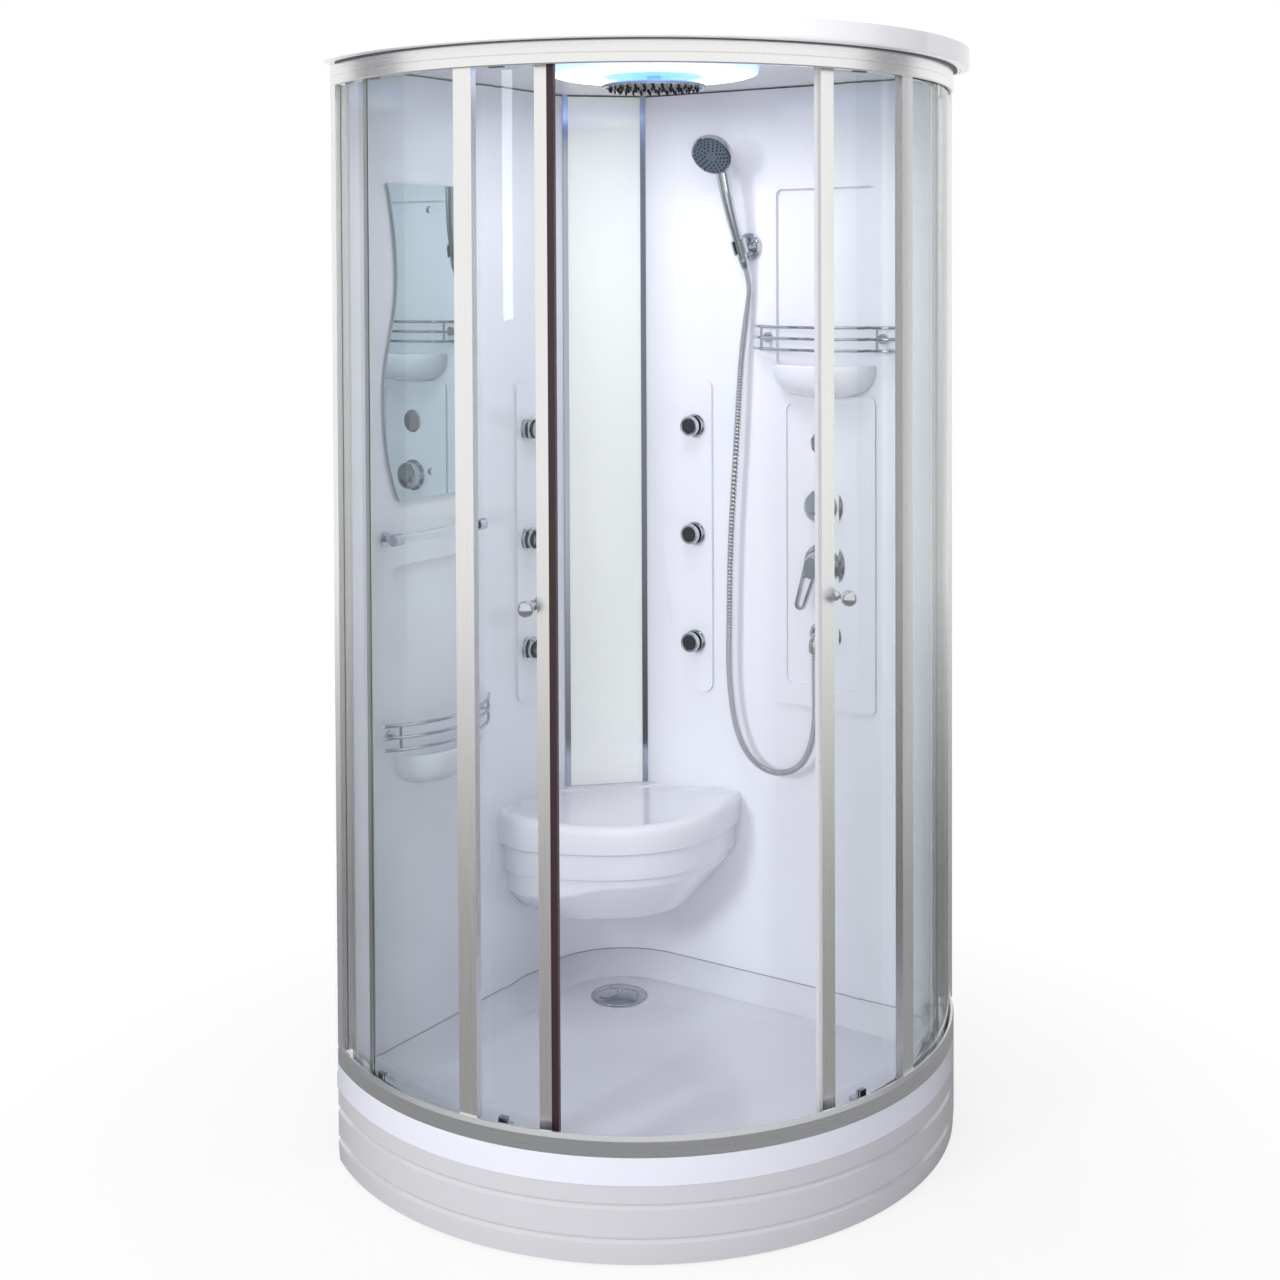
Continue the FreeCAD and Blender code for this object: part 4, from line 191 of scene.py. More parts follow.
def roughen_by(tree, takes, gives, marks):
    """The stated roughness, with marks that vary over the surface."""
    tree.links.new(math_node(tree, "ADD", takes.outputs["Roughness"], marks), gives.inputs["Roughness"])


def formed_sheet():
    """Vacuum-formed acrylic: slow waves left by the forming, a fine orange peel and faint wiping marks."""
    tree, takes, gives = effect(
        "formed_sheet", {"Color": (0.9, 0.9, 0.9, 1), "Roughness": 0.15, "Clouding": 0.03, "Peel": 0.3})
    place = object_place(tree)
    clouds = noise_node(tree, place, 3.0)
    waves = noise_node(tree, place, 6.0, 1.0)
    peel = noise_node(tree, place, 420.0, 1.0)
    wiped = noise_node(tree, object_place(tree, (2, 2, 9)), 5.0, 4.0)
    shade_by(tree, takes, gives, clouds, takes.outputs["Clouding"])
    roughen_by(tree, takes, gives, off_half(tree, wiped, 0.10))
    fine = math_node(tree, "MULTIPLY", peel, math_node(tree, "MULTIPLY", takes.outputs["Peel"], 0.02))
    tree.links.new(math_node(tree, "ADD", waves, fine), gives.inputs["Height"])
    return tree


def drawn_metal():
    """Brushed and anodised metal: hairlines along the bar, with the colour shifting from line to line."""
    tree, takes, gives = effect(
        "drawn_metal", {"Color": (0.7, 0.7, 0.7, 1), "Roughness": 0.3, "Upright": 1.0, "Depth": 0.12})
    upright = noise_node(tree, object_place(tree, (900, 900, 6)), 1.0, 3.0)
    level = noise_node(tree, object_place(tree, (6, 6, 900)), 1.0, 3.0)
    chosen = tree.nodes.new("ShaderNodeMix")
    tree.links.new(takes.outputs["Upright"], chosen.inputs[0])
    tree.links.new(level, chosen.inputs[2])
    tree.links.new(upright, chosen.inputs[3])
    lines = chosen.outputs[0]
    shade_by(tree, takes, gives, lines, takes.outputs["Depth"])
    roughen_by(tree, takes, gives, off_half(tree, lines, 0.25))
    tree.links.new(lines, gives.inputs["Height"])
    return tree


def polished_coat():
    """Plated or polished surface: soft smudges in the gloss and a slight unevenness of the coat."""
    tree, takes, gives = effect(
        "polished_coat", {"Color": (0.8, 0.8, 0.8, 1), "Roughness": 0.06, "Smudge": 0.08})
    place = object_place(tree)
    smudge = noise_node(tree, place, 26.0, 5.0)
    uneven = noise_node(tree, place, 9.0, 1.0)
    shade_by(tree, takes, gives, uneven, 0.05)
    spots = math_node(tree, "MAXIMUM", math_node(tree, "SUBTRACT", smudge, 0.5))
    roughen_by(tree, takes, gives, math_node(tree, "MULTIPLY", spots, takes.outputs["Smudge"]))
    tree.links.new(uneven, gives.inputs["Height"])
    return tree


def moulded_skin():
    """Moulded plastic or rubber: a fine spark-eroded grain and slight clouding."""
    tree, takes, gives = effect(
        "moulded_skin", {"Color": (0.5, 0.5, 0.5, 1), "Roughness": 0.45, "Grain": 700.0, "Clouding": 0.08})
    place = object_place(tree)
    grain = noise_node(tree, place, takes.outputs["Grain"], 2.0)
    clouds = noise_node(tree, place, 40.0, 3.0)
    shade_by(tree, takes, gives, clouds, takes.outputs["Clouding"])
    roughen_by(tree, takes, gives, off_half(tree, grain, 0.15))
    tree.links.new(grain, gives.inputs["Height"])
    return tree


def wound_strip():
    """Metal hose: interlocked strip, one raised turn every few millimetres along the piece's own map, with a
    painted highlight on each turn's crest and painted shade in the grooves between turns.
    """
    tree, takes, gives = effect("wound_strip", {"Color": (0.7, 0.7, 0.72, 1), "Turns": 300.0})
    coordinates = tree.nodes.new("ShaderNodeTexCoord")
    parts = tree.nodes.new("ShaderNodeSeparateXYZ")
    tree.links.new(coordinates.outputs["UV"], parts.inputs[0])
    along = math_node(tree, "MULTIPLY", parts.outputs[0], takes.outputs["Turns"])
    turn = math_node(tree, "FRACT", math_node(tree, "ADD", along, parts.outputs[1]))
    ridge = math_node(tree, "SINE", math_node(tree, "MULTIPLY", turn, math.pi))
    # Painted highlight and shade: the colour is lighter on each turn's crest and darker in the groove between
    # turns.
    shade_by(tree, takes, gives, ridge, 0.7)
    worn = math_node(tree, "SUBTRACT", 0.34, math_node(tree, "MULTIPLY", ridge, 0.18))
    tree.links.new(worn, gives.inputs["Roughness"])
    tree.links.new(ridge, gives.inputs["Height"])
    return tree


def ring_light():
    """Light behind a white ring: full in the middle of the ring and blue towards both of its edges."""
    middle, radius, edge = (ARC_X + 0.120, ARC_Y - 0.120, 0), 0.150, (0.036, 0.058)
    tree, takes, gives = effect(
        "ring_light", {"Color": (0.93, 0.95, 1.0, 1), "Roughness": 0.35, "Edge": (0.10, 0.32, 1.0, 1)},
        Glow="NodeSocketColor")
    place = tree.nodes.new("ShaderNodeTexCoord").outputs["Object"]
    flat = vector_node(tree, "MULTIPLY", vector_node(tree, "SUBTRACT", place, middle), (1, 1, 0))
    away = vector_node(tree, "LENGTH", flat)
    off = math_node(tree, "ABSOLUTE", math_node(tree, "SUBTRACT", away, radius))
    blend = tree.nodes.new("ShaderNodeMix")
    blend.data_type = "RGBA"
    tree.links.new(ramp_node(tree, off, *edge), blend.inputs["Factor"])
    tree.links.new(takes.outputs["Color"], blend.inputs[6])
    tree.links.new(takes.outputs["Edge"], blend.inputs[7])
    tree.links.new(blend.outputs[2], gives.inputs["Glow"])
    tree.links.new(takes.outputs["Color"], gives.inputs["Color"])
    grain = noise_node(tree, place, 500.0)
    roughen_by(tree, takes, gives, off_half(tree, grain, 0.1))
    tree.links.new(grain, gives.inputs["Height"])
    return tree


SHEET, DRAWN, COAT, SKIN = formed_sheet(), drawn_metal(), polished_coat(), moulded_skin()
STRIP, RING = wound_strip(), ring_light()


# --- finishes -----------------------------------------------------------------------------


def finish(name, tree, colour, bump, reach, **numbers):
    """A material whose colour, roughness and relief come from one shared effect."""
    material = bpy.data.materials.new(name)
    material.use_nodes = True
    nodes, links = material.node_tree.nodes, material.node_tree.links
    shader = nodes["Principled BSDF"]
    look = nodes.new("ShaderNodeGroup")
    look.node_tree = tree
    look.inputs["Color"].default_value = (*colour, 1)
    for key in list(numbers):
        if key in look.inputs:
            look.inputs[key].default_value = numbers.pop(key)
    links.new(look.outputs["Color"], shader.inputs["Base Color"])
    links.new(look.outputs["Roughness"], shader.inputs["Roughness"])
    relief = nodes.new("ShaderNodeBump")
    relief.inputs["Strength"].default_value = bump
    relief.inputs["Distance"].default_value = reach
    links.new(look.outputs["Height"], relief.inputs["Height"])
    links.new(relief.outputs["Normal"], shader.inputs["Normal"])
    if "Glow" in look.outputs:
        links.new(look.outputs["Glow"], shader.inputs["Emission Color"])
    for key, value in numbers.items():
        shader.inputs[key.replace("_", " ")].default_value = value
    return material


def let_light_through(material, tint):
    """Glass throws a thin tinted shadow and not a dark one."""
    tree = material.node_tree
    clear, path = tree.nodes.new("ShaderNodeBsdfTransparent"), tree.nodes.new("ShaderNodeLightPath")
    clear.inputs["Color"].default_value = (*tint, 1)
    mixed = mix_shaders(tree, path.outputs["Is Shadow Ray"], tree.nodes["Principled BSDF"], clear)
    tree.links.new(mixed.outputs[0], tree.nodes["Material Output"].inputs["Surface"])


ACRYLIC = {"Peel": 0.4, "Coat_Weight": 0.6}
BATH = {**ACRYLIC, "Roughness": 0.12, "Clouding": 0.03, "Coat_Roughness": 0.03}
METAL = {"Metallic": 1.0}
CLEAR = {"Transmission_Weight": 1.0}

# Name, effect, colour, strength of the relief, its reach in metres, and the numbers of effect and shader.
FINISH_ROWS = [
    ("white_acrylic", SHEET, (0.56, 0.555, 0.575), 0.10, 0.002, BATH),
    # The roof's own copy of the white acrylic is painted much lighter than the other acrylics, for the strong
    # light on the roof's edge: painted light.
    ("roof_acrylic", SHEET, (0.94, 0.93, 0.94), 0.10, 0.002,
     {**ACRYLIC, "Roughness": 0.14, "Clouding": 0.03, "Coat_Roughness": 0.04}),
    ("tray_acrylic", SHEET, (0.73, 0.73, 0.80), 0.10, 0.002, BATH),
    ("wall_acrylic", SHEET, (0.82, 0.82, 0.89), 0.16, 0.002,
     {**ACRYLIC, "Roughness": 0.14, "Clouding": 0.05, "Coat_Roughness": 0.04}),
    ("frame_steel", SKIN, (0.20, 0.21, 0.22), 0.15, 0.0004, {"Roughness": 0.42, "Grain": 400.0}),
    ("dark_plastic", SKIN, (0.045, 0.045, 0.05), 0.12, 0.0003, {"Roughness": 0.40}),
    ("grey_plastic", SKIN, (0.36, 0.37, 0.39), 0.08, 0.0003, {"Roughness": 0.30}),
    ("spray_plate", SKIN, (0.09, 0.115, 0.155), 0.08, 0.0003, {"Roughness": 0.35}),
    ("chrome", COAT, (0.62, 0.64, 0.68), 0.05, 0.0006, {**METAL, "Roughness": 0.05}),
    ("upright_aluminium", DRAWN, (0.90, 0.895, 0.89), 0.10, 0.0003,
     {**METAL, "Roughness": 0.30, "Depth": 0.06, "Upright": 1.0}),
    ("rail_aluminium", DRAWN, (0.90, 0.895, 0.89), 0.08, 0.0003,
     {**METAL, "Roughness": 0.28, "Depth": 0.05, "Upright": 0.0}),
    ("low_rail_aluminium", DRAWN, (0.80, 0.81, 0.83), 0.08, 0.0003,
     {**METAL, "Roughness": 0.30, "Depth": 0.05, "Upright": 0.0}),
    ("polished_trim", COAT, (0.42, 0.46, 0.54), 0.04, 0.0004, {**METAL, "Roughness": 0.14}),
    ("clear_glass", COAT, (0.955, 0.985, 0.985), 0.02, 0.0005,
     {**CLEAR, "Roughness": 0.0, "Smudge": 0.05, "IOR": 1.45}),
    ("frosted_glass", SKIN, (0.95, 0.975, 0.965), 0.05, 0.0004,
     {"Roughness": 0.12, "Grain": 900.0, "Clouding": 0.02, "Coat_Weight": 0.8, "Coat_Roughness": 0.02}),
    ("clear_acrylic", COAT, (0.93, 0.96, 0.97), 0.02, 0.0005, {**CLEAR, "Roughness": 0.02, "IOR": 1.49}),
    ("lamp_diffuser", RING, (0.95, 0.97, 1.0), 0.05, 0.0003, {"Roughness": 0.35, "Emission_Strength": 1.3}),
    ("soft_nozzles", SKIN, (0.21, 0.225, 0.24), 0.12, 0.0003, {"Roughness": 0.50}),
    ("nozzle_tips", SKIN, (0.010, 0.010, 0.012), 0.12, 0.0003, {"Roughness": 0.45}),
    ("mirror", COAT, (0.57, 0.66, 0.68), 0.01, 0.0003, {**METAL, "Roughness": 0.01, "Smudge": 0.02}),
    ("brass", COAT, (0.60, 0.43, 0.18), 0.10, 0.0006, {**METAL, "Roughness": 0.22, "Smudge": 0.4}),
    ("metal_hose", STRIP, (0.66, 0.66, 0.68), 0.9, 0.0012, {**METAL, "Turns": 300.0}),
    ("dark_seal", SKIN, (0.030, 0.012, 0.016), 0.10, 0.0003, {"Roughness": 0.45}),
    ("light_seal", SKIN, (0.62, 0.63, 0.64), 0.08, 0.0003, {"Roughness": 0.40}),
    ("joint_grey", SKIN, (0.30, 0.30, 0.36), 0.08, 0.0003, {"Roughness": 0.50}),
    # Near-black finish for strips that stand in for the shadow in gaps: painted shadow.
    ("joint_dark", SKIN, (0.06, 0.055, 0.075), 0.08, 0.0003, {"Roughness": 0.50}),
    ("roller_nylon", SKIN, (0.80, 0.80, 0.77), 0.08, 0.0003, {"Roughness": 0.38}),
]
SHADOW_TINTS = {"clear_glass": (0.97, 0.985, 0.98), "frosted_glass": (0.6, 0.63, 0.62),
                "clear_acrylic": (0.94, 0.96, 0.97)}
# The roof takes its copy of the white acrylic that is painted lighter for the light on its edge.
OWN_FINISH = {"top_rail": "rail_aluminium", "bottom_rail": "low_rail_aluminium",
              "corner_trims": "polished_trim", "roof": "roof_acrylic", "tray": "tray_acrylic",
              "spray_dial": "spray_plate"}

FINISHES = {row[0]: finish(*row[:5], **row[5]) for row in FINISH_ROWS}
for glass, shadow_tint in SHADOW_TINTS.items():
    let_light_through(FINISHES[glass], shadow_tint)


def dress_nodes():
    """Every carried-over part gets the finish that the record names for it, or a closer one of its own."""
    slots = {row["node"]: row["material_slot"] for row in frame["record"]["subparts"]}
    slots.update(OWN_FINISH)
    for name, part in frame["nodes"].items():
        slot = "upright_aluminium" if slots[name] == "satin_aluminium" else slots[name]
        part.data.materials.clear()
        part.data.materials.append(FINISHES[slot])


# --- hose ---------------------------------------------------------------------------------

WALL_FACE = 334
# Across the wall, off it and up, in millimetres: out of the elbow, down, round and up to the hand shower.
HOSE_POINTS = [
    (252, 39, 905), (252, 39, 850), (255, 40, 780), (246, 38, 710), (222, 37, 661), (180, 36, 634),
    (128, 37, 634), (84, 36, 662), (58, 37, 712), (44, 36, 780), (39, 37, 850), (40, 36, 943),
    (43, 38, 1073), (49, 37, 1201), (61, 36, 1364), (67, 34, 1480), (73, 29, 1570), (80, 22, 1634),
    (85.46, 17.41, 1684.10), (80.37, 29.67, 1721.83),
]
HOSE_RADIUS = 0.007


def on_right_wall(across, off, height):
    """A point in front of the right wall, in the frame."""
    return in_frame(across, WALL_FACE - off, height)


def make_hose():
    """The hand shower's metal hose, one free length from the elbow to the handle's tail."""
    line = bpy.data.curves.new("hose_line", "CURVE")
    line.dimensions = "3D"
    line.bevel_depth, line.bevel_resolution, line.resolution_u = HOSE_RADIUS, 6, 12
    spline = line.splines.new("NURBS")
    spline.points.add(len(HOSE_POINTS) - 1)
    for point, spot in zip(spline.points, HOSE_POINTS):
        point.co = (*on_right_wall(*spot), 1)
    spline.order_u = 3
    spline.use_endpoint_u = True
    hose = bpy.data.objects.new("spiral_hose", line)
    bpy.context.collection.objects.link(hose)
    line.materials.append(FINISHES["metal_hose"])
    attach(hose, "cabin")
    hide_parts("shower_hose")


# --- mesh tools ---------------------------------------------------------------------------


def pick_only(*pieces):
    """Selects these pieces and no others, and works on the first."""
    bpy.ops.object.select_all(action="DESELECT")
    for piece in pieces:
        piece.select_set(True)
    if pieces:
        bpy.context.view_layer.objects.active = pieces[0]


def join(pieces):
    """The pieces as one."""
    pick_only(*pieces)
    bpy.ops.object.join()
    return bpy.context.object


def set_place():
    """Puts the place, turn and size of the piece in hand into its mesh."""
    bpy.ops.object.transform_apply(location=True, rotation=True, scale=True)


def face_outwards():
    """Turns all faces of the mesh being edited outwards."""
    bpy.ops.mesh.select_all(action="SELECT")
    bpy.ops.mesh.normals_make_consistent(inside=False)


def lathe(rows, sides=48, lean=STRAIGHT):
    """A turned piece drawn up ring by ring from rows of radius, height and how far the ring leans over."""
    least = 0.05
    rows = [(*row, 0)[:3] for row in rows]
    rows = [(max(radius, least) / 1000, height / 1000, off / 1000) for radius, height, off in rows]
    pick_only()
    bpy.ops.mesh.primitive_circle_add(vertices=sides, radius=rows[0][0], location=(0, 0, 0))
    bpy.ops.object.mode_set(mode="EDIT")
    bpy.ops.mesh.select_mode(type="VERT")
    bpy.ops.mesh.select_all(action="SELECT")
    bpy.ops.transform.translate(value=UP * rows[0][1] + lean * rows[0][2])
    for (last, low_end, near), (radius, height, far) in zip(rows, rows[1:]):
        step = UP * (height - low_end) + lean * (far - near)
        bpy.ops.mesh.extrude_region_move(TRANSFORM_OT_translate={"value": step})
        grow = radius / last
        bpy.ops.transform.resize(value=(grow, grow, 1), center_override=UP * height + lean * far)
    bpy.ops.mesh.select_all(action="SELECT")
    bpy.ops.mesh.remove_doubles(threshold=0.00002)
    face_outwards()
    bpy.ops.object.mode_set(mode="OBJECT")
    return bpy.context.object


def smooth(piece, angle=35):
    """Smooth shading between the real edges."""
    pick_only(piece)
    bpy.ops.object.shade_smooth_by_angle(angle=math.radians(angle))


def cut_away(piece, spot, way, closed=True):
    """Takes off all of a piece that lies past a plane, and closes the cut."""
    pick_only(piece)
    bpy.ops.object.mode_set(mode="EDIT")
    bpy.ops.mesh.select_all(action="SELECT")
    bpy.ops.mesh.bisect(plane_co=spot, plane_no=way, use_fill=closed, clear_outer=True)
    bpy.ops.object.mode_set(mode="OBJECT")


def into_frame(piece, spot, way):
    """Stands an upright piece from the origin on a spot, pointing along a way, with its place in its mesh."""
    piece.matrix_world = Matrix.Translation(spot) @ way.to_track_quat("Z", "Y").to_matrix().to_4x4()
    pick_only(piece)
    set_place()


def add_trim(piece, name, body, look, spot=None, way=None):
    """Sets a finished piece in its place, with its finish, and hangs it on its body."""
    piece.name = name
    smooth(piece)
    if spot is not None:
        into_frame(piece, spot, way)
    piece.data.materials.clear()
    piece.data.materials.append(FINISHES[look])
    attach(piece, body)


# --- spray faces --------------------------------------------------------------------------

JET_HEIGHTS = (1373, 1132, 891)
JET_FACE, JET_ASIDE = 298.2, 64
JET_RIM = [(17.2, 0.2), (17.2, 1.5), (18, 2.1), (20.4, 2.1), (21.5, 1.3), (21.8, 0), (21.8, -8.4),
           (21.2, -9), (20, -9), (20, 0.2), (17.2, 0.2)]
# Radius in metres and number of nozzles of each ring, and then radius and height of one nozzle.
JET_RINGS = [(0.0001, 1), (0.0062, 6), (0.0128, 11)]
HAND_RINGS = [(0.015, 9), (0.0225, 14), (0.030, 19), (0.0372, 24)]
OVERHEAD_RINGS = [(0.020, 8), (0.037, 13), (0.054, 19), (0.071, 25), (0.087, 31)]
JET_TIP, HAND_TIP, OVERHEAD_TIP = (0.0014, 0.0012), (0.0020, 0.0014), (0.0024, 0.0065)


def join_copies(first, spots, name):
    """Copies of a piece at spots on its own plane, each with its own mesh, joined under one name."""
    rows = []
    for x, y in spots:
        row = first.copy()
        row.data = first.data.copy()
        row.location = (x, y, 0)
        bpy.context.collection.objects.link(row)
        rows.append(row)
    bpy.data.objects.remove(first)
    whole = join(rows)
    set_place()
    whole.name = name
    return whole


def soft_nozzle(radius, height):
    """One soft stub with a sunk mouth."""
    pick_only()
    bpy.ops.mesh.primitive_cone_add(vertices=10, radius1=radius, radius2=radius * 0.7, depth=height,
                                    location=(0, 0, height / 2))
    stub = bpy.context.object
    set_place()
    bpy.ops.object.mode_set(mode="EDIT")
    bpy.ops.mesh.select_mode(type="FACE")
    bpy.ops.mesh.select_all(action="DESELECT")
    bpy.ops.object.mode_set(mode="OBJECT")
    for face in stub.data.polygons:
        face.select = face.normal.z > 0.9
    bpy.ops.object.mode_set(mode="EDIT")
    bpy.ops.mesh.inset(thickness=radius * 0.25, depth=0)
    bpy.ops.mesh.inset(thickness=radius * 0.08, depth=-height * 0.5)
    bpy.ops.object.mode_set(mode="OBJECT")
    return stub


def ring_spots(rings):
    """Spots on circles, given as (radius, count) pairs."""
    spots = []
    for radius, count in rings:
        for step in range(count):
            angle = 2 * math.pi * (step + 0.5) / count
            spots.append((radius * math.cos(angle), radius * math.sin(angle)))
    return spots


def spray_face(name, body, rings, tip, spot, way):
    """Soft nozzles in rings on a spray face."""
    piece = join_copies(soft_nozzle(*tip), ring_spots(rings), name)
    into_frame(piece, spot, way)
    piece.data.materials.clear()
    piece.data.materials.append(FINISHES["nozzle_tips"])
    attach(piece, body)


def make_spray_faces():
    """The soft nozzles of the six jets, the hand shower and the overhead shower."""
    for number, height in enumerate(JET_HEIGHTS, start=1):
        for side, spot, way in (("left", in_frame(-JET_FACE, JET_ASIDE, height), Vector((1, 0, 0))),
                                ("right", in_frame(-JET_ASIDE, JET_FACE, height), Vector((0, -1, 0)))):
            name = "jet_%s_%d" % (side, number)
            spray_face(name + "_tips", name, JET_RINGS, JET_TIP, spot, way)
            add_trim(lathe(JET_RIM, 40), name + "_rim", name, "chrome", spot, way)
    spray_face("hand_shower_tips", "spray_dial", HAND_RINGS, HAND_TIP,
               in_frame(48.05, 213.2, 1961.25), SPRAY_WAY)
    spray_face("overhead_tips", "cabin", OVERHEAD_RINGS, OVERHEAD_TIP, in_frame(120, -120, 2074.5),
               Vector((0, 0, -1)))


# --- hand shower --------------------------------------------------------------------------

HANDLE_WAY = Vector((-27.0, -65.0, 200.0)).normalized()
SPRAY_WAY = Vector((0.07835, -0.81054, -0.58042)).normalized()
CLIP_SPOT = in_frame(74, 289, 1769)
HEAD_SPOT = CLIP_SPOT + HANDLE_WAY * 0.212
HANDLE_ROWS = [(0, -26, 0), (9.8, -26, 0), (10.8, -25, 0), (10.8, 14, 0), (11.2, 24, 0), (11.8, 50, 0.5),
               (12.6, 85, 2.5), (13.4, 115, 6), (14, 140, 10), (14.2, 160, 14), (13.8, 176, 16.5),
               (13, 188, 17), (10, 194, 17), (0, 196, 17)]
HEAD_ROWS = [(0, -23), (12, -22.4), (24, -20), (34, -15.5), (41, -9.5), (45.4, -2.5), (47, 4), (47.2, 8.5),
             (46.2, 11.2), (44.2, 12.0), (42.4, 11.2), (42.0, 8.2), (0, 8.0)]
NUT_ROWS = [(0, -50), (8.2, -50), (8.8, -49), (10.2, -38), (10.9, -33), (10.9, -31.5), (10.3, -30.8),
            (10.3, -29.6), (10.9, -28.9), (10.9, -27), (10.4, -26.2), (0, -26.1)]
ROSE_ROWS = [(0, -1), (31, -1), (31, 3), (29.5, 6.5), (26, 8.6), (21, 9.2), (17, 8), (14, 7.6), (0, 7.6)]


def make_hand_shower():
    """All of the hand shower but its turning face: the handle, the domed head and the hose's tapered nut.

    The handle swells towards the head and bends back to meet its dome from behind.
    """
    turn = HANDLE_WAY.to_track_quat("Z", "Y").to_matrix()
    back = (HANDLE_WAY * SPRAY_WAY.dot(HANDLE_WAY) - SPRAY_WAY).normalized()
    parts = []
    for rows, sides, lean, spot, way in ((HANDLE_ROWS, 40, turn.inverted() @ back, CLIP_SPOT, HANDLE_WAY),
                                         (HEAD_ROWS, 64, STRAIGHT, HEAD_SPOT, SPRAY_WAY),
                                         (NUT_ROWS, 40, STRAIGHT, CLIP_SPOT, HANDLE_WAY)):
        part = lathe(rows, sides, lean)
        into_frame(part, spot, way)
        parts.append(part)
    shower = join(parts)
    shower.name = "hand_shower"
    smooth(shower)
    shower.data.materials.append(FINISHES["chrome"])
    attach(shower, "handset")
    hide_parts("handset")


def make_holder_rose():
    """The stepped rose between the hand shower's bracket and the wall."""
    add_trim(lathe(ROSE_ROWS, 64), "holder_rose", "cabin", "chrome",
             in_frame(74, WALL_FACE, 1769), Vector((0, -1, 0)))


# --- seat, shelves and joints -------------------------------------------------------------

SEAT_MIDDLE = (-245, 245)
SEAT_ROWS = [(0, 318), (185, 318), (196, 321), (201, 327), (277, 404), (280, 409), (281, 414), (281, 428),
             (281.6, 432), (284, 434.8), (288, 436), (291.4, 437.6), (293, 441), (293, 485), (293.6, 489),
             (296, 491.8), (300, 493), (303.4, 494.8), (305, 499), (305, 536), (303.8, 542.1), (300.3, 547.3),
             (295.1, 550.8), (289, 552), (281, 551.4), (262, 549.6), (220, 548.2), (120, 547.2), (0, 547)]
SEAT_BACK, SEAT_SLANT = 334.5, 278
# The top's edge along the walls and along the slanted panel, in metres from the seat's middle, and its lift.
EDGE_LEVEL, EDGE_WALLS, EDGE_SLANT, EDGE_LIFT = 0.54, 0.087, 0.063, 0.0054
# Where the seat's ends climb and its lowest band dips, in degrees round the seat's middle.
CLIMB_RIGHT, CLIMB_LEFT, BAND_DIP = (-32, 16), (-62, -106), (-52, -86)
# How far they go there, in metres: each end at its foot and its top, and the band before and after its dip.
RISE_RIGHT, RISE_LEFT, RISE_BAND = (0.010, 0.016), (-0.010, 0.006), (0.009, -0.017)
# Between which heights an end goes from foot to top, the band's heights, and how far from the middle it starts.
TOP_LEVELS, BAND_LEVELS, SWEEP_REACH, STILL_REACH = (0.48, 0.54), (0.35, 0.432), (0.12, 0.29), 0.06
COLUMN_MIDDLE, COLUMN_RADIUS, COLUMN_FOOT, COLUMN_TOP = 134, 0.200, 169.3, 542.0

SHELF_ROWS = [(0, -66), (42, -65.4), (76, -61), (98, -51), (112, -37), (119, -21), (121.5, -8), (121.5, -1),
              (120.6, 2), (118.6, 3.4), (116.6, 3), (114, 1.2), (110, 0.6), (0, 0.5)]
SHELF_FLATTENED = 0.605

TRAY_LINE, CEILING_LINE = 169.2, 2111.6
BEAD, SHADOW_GAP = 0.0022, 0.0026


def ease(value, start, end):
    """Nought at the start and one at the end, slow at both."""
    value = min(max((value - start) / (end - start), 0.0), 1.0)
    return value * value * (3 - 2 * value)


def between(ends, share):
    """The first of two numbers where the share is nought, and the second where it is one."""
    return ends[0] + (ends[1] - ends[0]) * share


def sweep_seat(seat):
    """Both ends of the seat climb into the walls, and its lowest band dips towards the left."""
    for point in seat.data.vertices:
        across, off = point.co.x - ARC_X - SEAT_MIDDLE[0] / 1000, point.co.y - ARC_Y - SEAT_MIDDLE[1] / 1000
        at_wall = max(-across, off) > EDGE_WALLS or off - across > EDGE_SLANT
        if point.co.z > EDGE_LEVEL and at_wall:
            point.co.z += EDGE_LIFT
        away = math.hypot(across, off)
        if away < STILL_REACH:
            continue
        angle = math.degrees(math.atan2(off, across))
        top = ease(point.co.z, *TOP_LEVELS)
        rise = (ease(angle, *CLIMB_RIGHT) * between(RISE_RIGHT, top)
                + ease(angle, *CLIMB_LEFT) * between(RISE_LEFT, top))
        if BAND_LEVELS[0] < point.co.z < BAND_LEVELS[1]:
            rise += between(RISE_BAND, ease(angle, *BAND_DIP))
        point.co.z += rise * ease(away, *SWEEP_REACH)


def make_column():
    """The large hollow corner under the seat, a quarter of a tube."""
    pick_only()
    middle = in_frame(-COLUMN_MIDDLE, COLUMN_MIDDLE, (COLUMN_FOOT + COLUMN_TOP) / 2)
    bpy.ops.mesh.primitive_cylinder_add(vertices=96, radius=COLUMN_RADIUS, location=middle,
                                        depth=(COLUMN_TOP - COLUMN_FOOT) / 1000, end_fill_type="NOTHING")
    column = bpy.context.object
    set_place()
    cut_away(column, middle, (1, 0, 0), False)
    cut_away(column, middle, (0, -1, 0), False)
    wall = column.modifiers.new("wall", "SOLIDIFY")
    wall.thickness, wall.offset = 0.005, 1.0
    bpy.ops.object.modifier_apply(modifier="wall")
    bpy.ops.object.mode_set(mode="EDIT")
    face_outwards()
    bpy.ops.object.mode_set(mode="OBJECT")
    return column


def make_seat():
    """A stepped bowl that flows into both walls, over one large hollow corner."""
    bowl = lathe(SEAT_ROWS, 128)
    into_frame(bowl, in_frame(*SEAT_MIDDLE, 0), UP)
    cut_away(bowl, in_frame(-SEAT_BACK, 0, 0), (-1, 0, 0))
    cut_away(bowl, in_frame(0, SEAT_BACK, 0), (0, 1, 0))
    cut_away(bowl, in_frame(-SEAT_SLANT, SEAT_SLANT, 0), (-1, 1, 0))
    sweep_seat(bowl)
    seat = join([bowl, make_column()])
    add_trim(seat, "bowl_seat", "cabin", "wall_acrylic")
    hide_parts("corner_seat")


